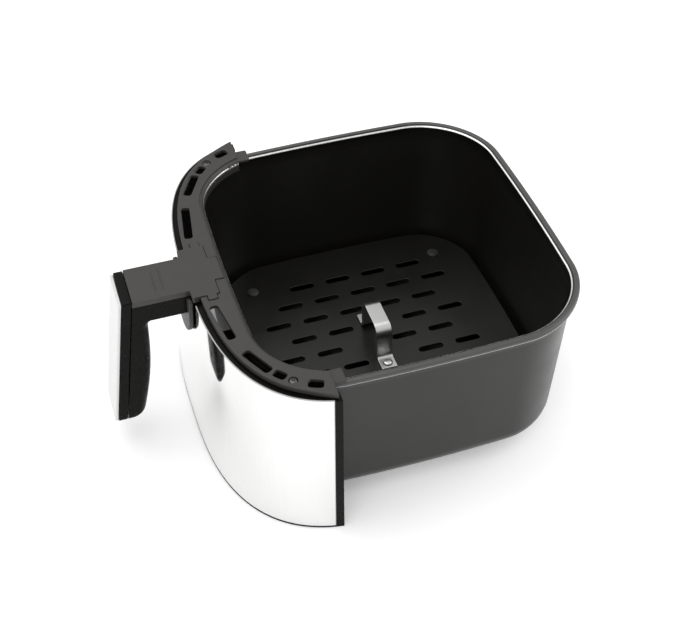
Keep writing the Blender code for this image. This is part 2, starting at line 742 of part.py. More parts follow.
def build_collar(material):
    """The C-shaped deck: outer skirt on the shell's ledge, inner lip over the pan's rim."""
    count = PANEL_STATIONS
    inner_top = evenly(front_run(LIP_INSET - LIP_SLOPE, DECK_END_Y), count)
    inner_low = evenly(front_run(LIP_INSET, DECK_END_Y), count)
    inner_back = evenly(front_run(LIP_INSET - LIP_WALL, DECK_END_Y), count)
    shares, _ = station_shares(count)
    outer = [panel_point(s, deck_inset(s), SKIN_TOP, DECK_END_Y) for s in shares]
    skirt = [panel_point(s, deck_inset(s) + SKIRT_WALL, SKIN_TOP, DECK_END_Y) for s in shares]
    lip_low = PAN_HEIGHT - LIP_DEPTH
    rings = []
    for i in range(count):
        rings.append([
            (*outer[i], SKIN_TOP),
            (*outer[i], COLLAR_TOP),
            (*inner_top[i], COLLAR_TOP),
            (*inner_low[i], PAN_HEIGHT),
            (*inner_low[i], lip_low),
            (*inner_back[i], lip_low),
            (*inner_back[i], DECK_UNDERSIDE),
            (*skirt[i], DECK_UNDERSIDE),
            (*skirt[i], SKIN_TOP),
        ])
    collar = loft("collar", rings, material)
    for side, sign in (("left", -1), ("right", 1)):
        inner_x = front_run(LIP_INSET - LIP_WALL, DECK_END_Y)[0][0]
        inner_x -= LIP_WALL / 2
        ends = sorted((sign * inner_x, sign * (inner_x + LUG_WIDTH)))
        low = PAN_HEIGHT + GAP
        join(collar, box(f"collar_lug_{side}", (ends[0], DECK_END_Y - LUG_HEIGHT, low),
                         (ends[1], DECK_END_Y + LUG_LENGTH, low + LUG_HEIGHT)))
        for i, (share, length, width) in enumerate(SLOTS):
            (x, y), angle = slot_place(share * PANEL_HALF_WIDTH)
            turn = Matrix.Translation((sign * x, y, COLLAR_TOP)) @ Matrix.Rotation(sign * angle, 4, "Z")
            cut(collar, outline_solid(f"vent_{side}_{i}", capsule(length, width), 2 * CUT_PAST, turn))
        from_end, length, width = END_SLOT
        y = PANEL_END_Y - from_end
        x = panel_x(y, SLOT_LINE, COLLAR_TOP)
        turn = (Matrix.Translation((sign * x, y, COLLAR_TOP))
                @ Matrix.Rotation(sign * END_SLOT_TURN, 4, "Z"))
        cut(collar, outline_solid(f"vent_{side}_end", capsule(length, width), 2 * CUT_PAST, turn))
        x, y = sign * COLLAR_SCREW[0], COLLAR_SCREW[1]
        cut(collar, rod(f"collar_hole_{side}", SCREW_RADIUS + SCREW_PLAY, (x, y, LEDGE_TOP - CUT_PAST),
                        (x, y, COLLAR_TOP + CUT_PAST)))
        seat = COLLAR_TOP - SCREW_HEAD_HEIGHT
        cut(collar, rod(f"collar_counterbore_{side}", SCREW_HEAD + SCREW_PLAY, (x, y, seat),
                        (x, y, COLLAR_TOP + CUT_PAST)))
    pad_front = panel_y(0, DECK_INSET + SKIRT_WALL / 2, SKIN_TOP)
    join(collar, box("arm_pad", (-ARM_HALF_WIDTH, pad_front, SKIN_TOP),
                     (ARM_HALF_WIDTH, ARM_INNER_Y, DECK_UNDERSIDE + GAP)))
    for sign in (-1, 1):
        x, y = arm_screw_place(sign)
        cut(collar, rod(f"arm_hole_{sign}", SCREW_RADIUS + SCREW_PLAY, (x, y, LEDGE_TOP), (x, y, COLLAR_TOP)))
        cut(collar, rod(f"arm_counterbore_{sign}", SCREW_HEAD + SCREW_PLAY,
                        (x, y, POCKET_FLOOR - SCREW_HEAD_HEIGHT), (x, y, COLLAR_TOP + GAP)))
    pocket = outline_solid("collar_pocket", plate_outline(GAP, panel_y(0, 0, COLLAR_TOP) - CUT_PAST),
                           2 * POCKET_DEPTH, Matrix.Translation((0, 0, COLLAR_TOP)))
    cut(collar, pocket)
    return collar


def panel_x(y, inset, z):
    """How far across the panel its outline is, at a place along the drawer."""
    half_width, depth = panel_size(z)
    along = (PANEL_CENTRE_Y - y) / (depth - inset)
    return (half_width - inset) * (1 - along**PANEL_POWER) ** (1 / PANEL_POWER)


# ---- Handle


def plate_outline(margin, front_y):
    """The T-shaped plate's outline, grown by a margin, from its tongue forward to front_y.

    Its steps slope by a hair so that no two of them lie on one line.
    """
    half = [
        (TONGUE_HALF_WIDTH + margin, TONGUE_BACK_Y + margin),
        (TONGUE_HALF_WIDTH + margin, PLATE_BACK_Y + margin + GAP),
        (YOKE_HALF_WIDTH + margin, PLATE_BACK_Y + margin),
        (YOKE_HALF_WIDTH + margin, EAR_BACK_Y + margin + GAP),
        (EAR_HALF_WIDTH + margin, EAR_BACK_Y + margin),
        (EAR_HALF_WIDTH + margin, EAR_FRONT_Y - margin),
        (YOKE_HALF_WIDTH + margin, EAR_FRONT_Y - margin - GAP),
        (YOKE_HALF_WIDTH + margin, front_y - margin),
    ]
    return half + [(-x, y) for x, y in reversed(half)]


def arm_screw_place(sign):
    return sign * (CHANNEL_HALF_WIDTH + ARM_HALF_WIDTH) / 2, (PLATE_BACK_Y + EAR_FRONT_Y) / 2


def seam_y(z):
    """The leaning plane between the grip and the frame."""
    return SEAM_Y - HANDLE_SLOPE * (ARM_TOP - z)


def seam_matrix(offset=0.0):
    """From a front view, up the leaning seam plane and forward of it, to the drawer's own frame.

    Local X is across, local Y is height above the arm's top and local Z is forward, so level edges
    stay level.
    """
    return Matrix(((1, 0, 0, 0), (0, HANDLE_SLOPE, -1, SEAM_Y + offset), (0, 1, 0, ARM_TOP), (0, 0, 0, 1)))


def grip_back_y(z):
    """The back of the grip at a height: it swells in the middle, and flares into the arm."""
    top = ARM_BOTTOM - ARM_FILLET
    share = min(1, max(0, (top - z) / (top - HANDLE_BOTTOM)))
    depth = GRIP_TOP_DEPTH + GRIP_BULGE * math.sin(math.pi * share)
    back = seam_y(z) + depth
    foot = HANDLE_BOTTOM + GRIP_FOOT_ROUND - z
    if foot > 0:
        back -= GRIP_FOOT_ROUND - math.sqrt(GRIP_FOOT_ROUND**2 - foot**2)
    if z > top:
        rise = min(z - top, ARM_FILLET)
        back = seam_y(top) + GRIP_TOP_DEPTH + ARM_FILLET - math.sqrt(ARM_FILLET**2 - rise**2)
    return back


def grip_half_width(z):
    """Half the grip's width at a height: it rounds in at its foot."""
    foot = max(0.0, HANDLE_BOTTOM + HANDLE_CORNER - z)
    return ARM_HALF_WIDTH - GAP / 2 - HANDLE_CORNER + math.sqrt(HANDLE_CORNER**2 - foot**2)


def grip_heights():
    foot = [HANDLE_BOTTOM + GRIP_FOOT_ROUND * (1 - math.cos(math.radians(a))) for a in (8, 30, 45, 60, 90)]
    top = ARM_BOTTOM - ARM_FILLET
    middle = [foot[-1] + (top - foot[-1]) * i / 6 for i in range(1, 6)]
    flare = [top + ARM_FILLET * math.sin(math.radians(a)) for a in (0, 30, 60, 90)]
    return foot + middle + flare + [(ARM_BOTTOM + ARM_CORE_TOP) / 2]


def build_handle_body(material):
    """The arm and the grip behind the seam, with a channel for the steel tang."""
    rings = []
    for z in grip_heights():
        front, back = seam_y(z) + 1.5 * GAP, grip_back_y(z)
        side = grip_half_width(z)
        corner = min(GRIP_CORNER, 0.8 * (back - front))
        half = [(side, front)] + arc((side - corner, back - corner), corner, 0, 90, 3)
        rings.append([(x, y, z) for x, y in half + [(-x, y) for x, y in reversed(half)]])
    body = loft("handle_body", rings, material)
    arm = outline_solid(
        "arm_stock",
        [(ARM_INNER_Y - GAP, ARM_BOTTOM), (ARM_INNER_Y - GAP, ARM_CORE_TOP),
         (seam_y(ARM_CORE_TOP) + GAP, ARM_CORE_TOP), (seam_y(ARM_BOTTOM) + GAP, ARM_BOTTOM)],
        2 * ARM_HALF_WIDTH,
        SIDE_VIEW,
    )
    join(body, arm)
    width = CHANNEL_HALF_WIDTH
    channel = box("arm_channel", (-width, SEAM_Y - HANDLE_SLOPE, ARM_CORE_TOP - CHANNEL_DEPTH),
                  (width, ARM_INNER_Y - CHANNEL_DEPTH, ARM_TOP))
    cut(body, channel)
    height = ARM_TOP - HANDLE_BOTTOM - GRIP_FOOT_ROUND
    pocket = outline_solid("grip_pocket", [(-width, -height), (width, -height), (width, 0), (-width, 0)],
                           2 * CHANNEL_DEPTH, seam_matrix(GAP))
    cut(body, pocket)
    for label, y in tang_screw_places().items():
        cut(body, rod(f"tang_bore_{label}", SCREW_RADIUS + SCREW_PLAY, (0, y, ARM_BOTTOM + TANG_WALL),
                      (0, y, ARM_TOP)))
    for label, z in grip_screw_heights().items():
        front, back = grip_screw_line(z)
        cut(body, rod(f"grip_bore_{label}", SCREW_RADIUS + SCREW_PLAY, front, back))
        sink = Vector(front).lerp(Vector(back), GRIP_SINK)
        cut(body, rod(f"grip_sink_{label}", SCREW_HEAD + SCREW_PLAY, sink, back))
    for sign in (-1, 1):
        x, y = arm_screw_place(sign)
        cut(body, rod(f"arm_bore_{sign}", SCREW_RADIUS + SCREW_PLAY, (x, y, ARM_BOTTOM + TANG_WALL),
                      (x, y, ARM_TOP)))
    return body


def tang_screw_places():
    return {label: SEAM_Y + reach for label, reach in TANG_SCREWS.items()}


def grip_screw_heights():
    span = ARM_BOTTOM - HANDLE_BOTTOM
    return {label: HANDLE_BOTTOM + share * span for label, share in GRIP_SCREW_SHARES.items()}


def grip_screw_line(z):
    """From a point in the frame to one behind the grip, square to the seam plane."""
    back_way = Vector((0, 1, HANDLE_SLOPE)).normalized()
    start = Vector((0, seam_y(z), z))
    return tuple(start - back_way * FRAME_DEPTH * 0.6), tuple(start + back_way * 0.03)


def build_tang(material):
    """A steel strap: one leg in the arm's channel, the other down the grip's pocket."""
    floor = ARM_CORE_TOP - CHANNEL_DEPTH
    top = floor + GAP + TANG_WALL
    play = 2 * GAP + CHANNEL_DEPTH / 2 - TANG_WALL / 2
    foot = HANDLE_BOTTOM + GRIP_FOOT_ROUND + CHANNEL_DEPTH
    outline = [
        (ARM_INNER_Y - CHANNEL_DEPTH - GAP, floor + GAP),
        (ARM_INNER_Y - CHANNEL_DEPTH - GAP, top),
        (seam_y(top) + play, top),
        (seam_y(foot) + play, foot),
        (seam_y(foot) + play + TANG_WALL, foot),
        (seam_y(floor + GAP) + play + TANG_WALL, floor + GAP),
    ]
    tang = outline_solid("handle_tang", outline, 2 * (CHANNEL_HALF_WIDTH - GAP), SIDE_VIEW, material)
    for label, y in tang_screw_places().items():
        ends = (0, y, floor - CUT_PAST), (0, y, top + CUT_PAST)
        cut(tang, rod(f"tang_hole_{label}", SCREW_RADIUS + SCREW_PLAY, *ends))
    for label, z in grip_screw_heights().items():
        cut(tang, rod(f"tang_grip_hole_{label}", SCREW_RADIUS + SCREW_PLAY, *grip_screw_line(z)))
    return tang


def face_outline(inset):
    """The handle's outline from the front: up is +Y and the arm's top is at 0."""
    half_width = ARM_HALF_WIDTH - inset
    low = HANDLE_BOTTOM - ARM_TOP + inset
    corner = HANDLE_CORNER - inset
    points = [(half_width, -inset)]
    points += arc((half_width - corner, low + corner), corner, 0, -90, ARC_STEPS)
    return points + [(-x, y) for x, y in reversed(points)]


def build_frame(material):
    frame = outline_solid("handle_frame", face_outline(0), FRAME_DEPTH - GAP, seam_matrix(-FRAME_DEPTH / 2),
                          material)
    for label, z in grip_screw_heights().items():
        cut(frame, rod(f"frame_bore_{label}", SCREW_RADIUS + SCREW_PLAY, *grip_screw_line(z)))
    return frame


def build_fascia(material):
    return outline_solid("handle_fascia", face_outline(FASCIA_INSET), FASCIA_WALL,
                         seam_matrix(-FRAME_DEPTH - FASCIA_WALL / 2 - GAP / 2), material)


def build_arm_cover(material):
    """The slab on the arm, the yoke over the shell's ledge and the plate in the collar's pocket."""
    deck_front = panel_y(0, DECK_INSET, SKIN_TOP) - GAP
    root = panel_y(0, 0, SKIN_TOP) - GAP
    plate_low = POCKET_FLOOR + GAP
    middle = (plate_low + ARM_TOP) / 2
    cover = outline_solid("arm_cover", plate_outline(0, root), ARM_TOP - plate_low,
                          Matrix.Translation((0, 0, middle)), material)
    step = GAP / 2  # keeps the faces of joined pieces off each other
    join(cover, box("cover_yoke", (-YOKE_HALF_WIDTH + step, root + step, COVER_BOTTOM),
                    (YOKE_HALF_WIDTH - step, deck_front, ARM_TOP - step)))
    start = (root + deck_front) / 2
    end = seam_y(ARM_TOP - step) + 2 * GAP, seam_y(COVER_BOTTOM + step) + 2 * GAP
    slab = outline_solid(
        "cover_slab",
        [(start, COVER_BOTTOM + step), (start, ARM_TOP - step / 2),
         (end[0], ARM_TOP - step / 2), (end[1], COVER_BOTTOM + step)],
        2 * ARM_HALF_WIDTH,
        SIDE_VIEW,
    )
    join(cover, slab)
    for i, reach in enumerate(RIB_FROM_SEAM):
        y = SEAM_Y + reach
        join(cover, box(f"cover_rib_{i}", (-RIB_HALF_LENGTH, y - RIB_SIZE / 2, ARM_TOP - RIB_SIZE),
                        (RIB_HALF_LENGTH, y + RIB_SIZE / 2, ARM_TOP + RIB_HEIGHT)))
    return cover


def build_escutcheon(material):
    """A shield round the arm's root, open at the top, that leans with the panel."""
    top = COVER_BOTTOM - GAP
    lean = math.atan(PANEL_LEAN / (SKIN_TOP - PANEL_BOTTOM))
    front = panel_y(0, 0, top) - GAP - SHIELD_WALL / 2
    place = Matrix.Translation((0, front, top)) @ Matrix.Rotation(math.pi / 2 - lean, 4, "X")
    radius = YOKE_HALF_WIDTH
    low = (SHIELD_BOTTOM - top) / math.cos(lean)
    notch_low = (ARM_BOTTOM - GAP - top) / math.cos(lean)
    reach = ARM_HALF_WIDTH + GAP
    outline = [(reach, 0), (radius, 0)]
    outline += arc((0, low + radius), radius, 0, -90, 2 * ARC_STEPS)
    outline = outline[:-1]
    bottom = [(0, low)]
    left = [(-x, y) for x, y in reversed(outline)]
    notch = [(-reach, notch_low), (reach, notch_low)]
    return outline_solid("arm_escutcheon", outline + bottom + left + notch, SHIELD_WALL, place, material)


def build_grip_screw(label, z, material):
    """A screw from behind the grip, through the tang and into the frame."""
    front, back = (Vector(p) for p in grip_screw_line(z))
    head = front.lerp(back, GRIP_SINK) + (back - front).normalized() * GAP
    length = (head - front).length - SCREW_RADIUS - GAP
    screw = build_screw(f"grip_screw_{label}", (0, 0), 0, length, material)
    screw.location = head
    screw.rotation_mode = "QUATERNION"
    screw.rotation_quaternion = (back - front).to_track_quat("Z", "X")
    return screw


# ---- The whole drawer


def main():
    clear_scene()
    make_collection(PARTS)
    make_collection(CUTTERS)
    coated_steel = make_material("coated_steel", (0.030, 0.029, 0.027), 0.35, 0.3)
    zinc_steel = make_material("zinc_steel", (0.62, 0.62, 0.60), 0.35, 1.0)
    polished_steel = make_material("polished_steel", (0.66, 0.65, 0.64), 0.16, 1.0)
    grey_plastic = make_material("grey_plastic", (0.075, 0.070, 0.067), 0.50)
    black_plastic = make_material("black_plastic", (0.014, 0.013, 0.012), 0.38)
    silver_plastic = make_material("silver_plastic", (0.72, 0.72, 0.71), 0.30, 0.4)
    silicone = make_material("silicone", (0.020, 0.020, 0.020), 0.70)

    build_pan(coated_steel)
    build_crisper_plate(coated_steel)
    for corner, place in foot_places().items():
        build_foot(corner, place, silicone)
    build_lift_loop(zinc_steel)
    for side, x in rivet_places().items():
        build_rivet(side, x, zinc_steel)

    build_front_shell(black_plastic)
    build_steel_skin(polished_steel)
    build_collar(grey_plastic)
    for side, sign in (("left", -1), ("right", 1)):
        build_bracket(side, zinc_steel)
        build_screw(f"bracket_screw_{side}", bracket_boss(sign * BRACKET_X), BRACKET_TOP + GAP,
                    BOSS_SCREW_LENGTH, zinc_steel)
        place = (sign * COLLAR_SCREW[0], COLLAR_SCREW[1])
        seat = COLLAR_TOP - SCREW_HEAD_HEIGHT + GAP
        build_screw(f"collar_screw_{side}", place, seat, BOSS_SCREW_LENGTH, zinc_steel,
                    SCREW_HEAD_HEIGHT - 2 * GAP)

    build_handle_body(black_plastic)
    build_arm_cover(grey_plastic)
    build_escutcheon(grey_plastic)
    build_tang(zinc_steel)
    build_frame(black_plastic)
    build_fascia(silver_plastic)
    tang_top = ARM_CORE_TOP - CHANNEL_DEPTH + 2 * GAP + TANG_WALL
    for label, y in tang_screw_places().items():
        build_screw(f"tang_screw_{label}", (0, y), tang_top, TANG_SCREW_LENGTH, zinc_steel)
    for label, z in grip_screw_heights().items():
        build_grip_screw(label, z, zinc_steel)
    for side, sign in (("left", -1), ("right", 1)):
        seat = POCKET_FLOOR - SCREW_HEAD_HEIGHT + GAP
        build_screw(f"arm_screw_{side}", arm_screw_place(sign), seat, ARM_SCREW_LENGTH, zinc_steel,
                    SCREW_HEAD_HEIGHT - 2 * GAP)


main()
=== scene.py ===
"""Looks for the air fryer drawer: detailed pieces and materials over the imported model's frame.

All lengths are in metres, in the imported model's own frame: +Z up, the handle along -Y, X across.
"""

import math

import bmesh
import bpy
import numpy as np
from mathutils import Matrix, Vector


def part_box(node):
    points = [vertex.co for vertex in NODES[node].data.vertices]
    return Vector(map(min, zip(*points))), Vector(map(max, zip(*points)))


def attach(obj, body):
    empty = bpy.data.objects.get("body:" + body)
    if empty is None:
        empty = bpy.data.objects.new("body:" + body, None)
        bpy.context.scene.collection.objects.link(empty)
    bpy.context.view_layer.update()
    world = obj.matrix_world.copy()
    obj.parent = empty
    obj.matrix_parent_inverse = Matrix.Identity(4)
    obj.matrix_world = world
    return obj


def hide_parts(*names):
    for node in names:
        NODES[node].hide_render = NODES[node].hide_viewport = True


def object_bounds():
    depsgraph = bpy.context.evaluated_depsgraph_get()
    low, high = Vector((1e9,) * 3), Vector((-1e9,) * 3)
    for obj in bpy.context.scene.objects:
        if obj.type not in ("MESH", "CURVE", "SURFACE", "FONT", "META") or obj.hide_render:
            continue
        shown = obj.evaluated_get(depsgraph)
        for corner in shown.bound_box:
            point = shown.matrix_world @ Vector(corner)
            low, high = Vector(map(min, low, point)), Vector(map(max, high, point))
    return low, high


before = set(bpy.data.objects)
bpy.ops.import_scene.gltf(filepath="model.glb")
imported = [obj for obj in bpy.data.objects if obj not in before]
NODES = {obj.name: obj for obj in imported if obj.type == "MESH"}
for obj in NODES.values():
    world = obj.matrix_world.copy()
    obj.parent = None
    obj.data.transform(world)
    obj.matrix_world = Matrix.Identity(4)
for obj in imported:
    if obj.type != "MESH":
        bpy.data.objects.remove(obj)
CAD_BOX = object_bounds()

# ---- Sizes taken from the frame
PAN_LOW, PAN_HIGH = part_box("pan")
SHELL_LOW, SHELL_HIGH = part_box("front_shell")
SKIN_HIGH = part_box("steel_skin")[1]
COLLAR_LOW, COLLAR_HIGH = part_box("collar")
PLATE_LOW, PLATE_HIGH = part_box("crisper_plate")
FRAME_LOW, FRAME_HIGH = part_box("handle_frame")

GAP = 0.0003
PAN_HEIGHT = PAN_HIGH.z
SIDE_BOW = 0.0039
RIM_HALF_WIDTH = PAN_HIGH.x - SIDE_BOW
RIM_HALF_LENGTH = PAN_HIGH.y - SIDE_BOW
RIM_CORNER = 0.055
PAN_WALL = 0.0012
PAN_DRAFT = 0.0058
PAN_FLOOR_ROUND = 0.016
RIM_FLANGE = 0.004
RIM_LIP = 0.0034

PANEL_HALF_WIDTH = RIM_HALF_WIDTH + 0.0184
PANEL_DEPTH = 0.0966
PANEL_CENTRE_Y = -0.0388
PANEL_POWER = 2.76
PANEL_END_Y = -0.0686
PANEL_LEAN = 0.0072
PANEL_TAPER = 0.0022
PANEL_BOTTOM = SHELL_LOW.z
SKIN_TOP = SKIN_HIGH.z
SKIN_WALL = 0.0008
SKIN_FOOT = 0.0015
HEM_WIDTH = 0.0012
HEM_HEIGHT = 0.00045
END_STRIP = 0.0048
SHELL_WALL = 0.0025
SHELL_FLANGE = 0.0075
FLANGE_WALL = 0.0022
LEDGE_TOP = SKIN_TOP - GAP
COLLAR_TOP = COLLAR_HIGH.z
DECK_WALL = 0.0026
DECK_INSET = 0.0045
DECK_FLARE = 0.0030
FLARE_SHARE = 0.10
DECK_END_Y = -0.0705
SKIRT_WALL = 0.0015
LIP_INSET = 0.0105
LIP_SLOPE = 0.0030
LIP_WALL = 0.0018
LIP_DEPTH = 0.0055
# Heights about the pan's top of the collar lip's band that carries the painted highlight.
LIP_HIGHLIGHT_BAND = (-0.0009, 0.0010)
LUG_LENGTH = 0.0085
LUG_WIDTH = 0.0120
LUG_HEIGHT = 0.0022
LIP_RIBS = 4
LIP_RIB_PITCH = 0.0023
LIP_RIB_WIDTH = 0.0011
SLOT_LINE = 0.0102
SLOTS = ((0.0518, 0.0335, 0.0058), (0.0921, 0.0235, 0.0062), (0.1073, 0.0088, 0.0062))
END_SLOT = (-0.0812, 0.0100, 0.0068)
COLLAR_SCREW = (0.1143, -0.0936)

ARM_HALF_WIDTH = FRAME_HIGH.x
ARM_TOP = FRAME_HIGH.z
ARM_DEPTH = 0.0187
ARM_INNER_Y = -0.1190
SEAM_Y = -0.1741
FRAME_DEPTH = 0.0065
HANDLE_SLOPE = 0.1507
HANDLE_BOTTOM = FRAME_LOW.z
HANDLE_CORNER = 0.0050
GRIP_TOP_DEPTH = 0.0128
GRIP_BULGE = 0.0030
GRIP_CORNER = 0.0070
GRIP_FOOT_ROUND = 0.0075
GRIP_SCREW_SHARES = {"upper": 0.74, "lower": 0.24}
ARM_FILLET = 0.0085
FASCIA_WALL = 0.0020
FASCIA_INSET = 0.0007
POCKET_DEPTH = 0.0013
YOKE_HALF_WIDTH = 0.0245
EAR_HALF_WIDTH = 0.0292
TONGUE_HALF_WIDTH = 0.0110
EAR_FRONT_Y = -0.1258
EAR_BACK_Y = -0.1198
PLATE_BACK_Y = -0.1177
TONGUE_BACK_Y = -0.1117
RIB_HALF_LENGTH = 0.0106
RIB_FROM_SEAM = (0.0172, 0.0225)
SHIELD_WALL = 0.0030
SHIELD_BOTTOM = 0.0815
CUTOUT_HALF_WIDTH = 0.0275
CUTOUT_BOTTOM = 0.0960
CUTOUT_CORNER = 0.0040
SCREW_HEAD = 0.0027
SCREW_HEAD_HEIGHT = 0.0014

FLOOR_REACH = 6.0
CAMERA_AZIMUTH = math.radians(72.374)
CAMERA_ELEVATION = math.radians(44.117)
CAMERA_ROLL = math.radians(-0.525)
CAMERA_AIM = Vector((0, -0.020, 0.050))
CAMERA_DISTANCE = 0.92038
CAMERA_LENS = 65.89
CAMERA_SHIFT = (-0.00427, -0.00708)
CAMERA_BACK = Vector((math.sin(CAMERA_AZIMUTH) * math.cos(CAMERA_ELEVATION),
                      -math.cos(CAMERA_AZIMUTH) * math.cos(CAMERA_ELEVATION), math.sin(CAMERA_ELEVATION)))

PLATE_TOP = PLATE_HIGH.z
PLATE_WALL = 0.0012
PLATE_SKIRT = 0.0070
PLATE_ROUND = 0.0030
PLATE_PLAY = 0.0025
PLATE_SLOT = (0.0190, 0.0050)
PLATE_SLOT_PITCH = (0.0185, 0.0290)
PLATE_SLOT_COUNT = (9, 5)
FOOT_PLACE = (0.0795, 0.0740)
FOOT_RADIUS = 0.0060
FOOT_NECK = 0.0028
FOOT_HEAD = 0.0045
FOOT_HEAD_HEIGHT = 0.0018
LOOP_HALF_WIDTH = 0.0170
LOOP_HEIGHT = 0.0270
LOOP_STRAP = 0.0120
LOOP_WALL = 0.0014
LOOP_FOOT = 0.0130
LOOP_BEND = 0.0040
RIVET_RADIUS = 0.0020
RIVET_HEAD = 0.0036

ARM_BOTTOM = ARM_TOP - ARM_DEPTH
ARM_CORE_TOP = LEDGE_TOP
COVER_BOTTOM = ARM_CORE_TOP + GAP
POCKET_FLOOR = COLLAR_TOP - POCKET_DEPTH
DECK_UNDERSIDE = COLLAR_TOP - DECK_WALL

CORNER_STEPS = 28
SIDE_STEPS = 22
PANEL_STATIONS = 141
TURN_STEPS = 48


# ---- Materials


class Surface:
    """A Principled material with helpers for noise, mixing and bump."""

    def __init__(self, name, colour, roughness, metallic=0.0, **sockets):
        self.material = bpy.data.materials.new(name)
        self.material.use_nodes = True
        self.tree = self.material.node_tree
        self.shader = self.tree.nodes["Principled BSDF"]
        self.shader.inputs["Base Color"].default_value = (*colour, 1)
        self.shader.inputs["Roughness"].default_value = roughness
        self.shader.inputs["Metallic"].default_value = metallic
        for socket, value in sockets.items():
            self.shader.inputs[socket.replace("_", " ")].default_value = value
        self.place = self.tree.nodes.new("ShaderNodeTexCoord").outputs["Object"]

    def link(self, source, target):
        self.tree.links.new(source, target)

    def scaled(self, scale):
        mapping = self.tree.nodes.new("ShaderNodeMapping")
        mapping.inputs["Scale"].default_value = scale
        self.link(self.place, mapping.inputs["Vector"])
        return mapping.outputs["Vector"]

    def noise(self, scale, detail=2.0, roughness=0.5, stretch=(1, 1, 1)):
        node = self.tree.nodes.new("ShaderNodeTexNoise")
        node.inputs["Scale"].default_value = scale
        node.inputs["Detail"].default_value = detail
        node.inputs["Roughness"].default_value = roughness
        self.link(self.scaled(stretch), node.inputs["Vector"])
        return node.outputs["Fac"]

    def cells(self, scale):
        node = self.tree.nodes.new("ShaderNodeTexVoronoi")
        node.inputs["Scale"].default_value = scale
        self.link(self.place, node.inputs["Vector"])
        return node.outputs["Distance"]

    def remap(self, value, low, high, start=0.3, end=0.7):
        node = self.tree.nodes.new("ShaderNodeMapRange")
        for socket, number in (("From Min", start), ("From Max", end), ("To Min", low), ("To Max", high)):
            node.inputs[socket].default_value = number
        self.link(value, node.inputs["Value"])
        return node.outputs["Result"]

    def blend(self, factor, first, second):
        node = self.tree.nodes.new("ShaderNodeMix")
        node.data_type = "RGBA"
        node.inputs[6].default_value = (*first, 1)
        node.inputs[7].default_value = (*second, 1)
        self.link(factor, node.inputs["Factor"])
        return node.outputs[2]

    def colour(self, output):
        self.link(output, self.shader.inputs["Base Color"])
        return self

    def roughness(self, output):
        self.link(output, self.shader.inputs["Roughness"])
        return self

    def bump(self, *heights):
        """Bumps of (height output, depth in metres), each on top of the one before."""
        normal = None
        for height, depth in heights:
            node = self.tree.nodes.new("ShaderNodeBump")
            node.inputs["Strength"].default_value = 1.0
            node.inputs["Distance"].default_value = depth
            self.link(height, node.inputs["Height"])
            if normal:
                self.link(normal, node.inputs["Normal"])
            normal = node.outputs["Normal"]
        self.link(normal, self.shader.inputs["Normal"])
        return self


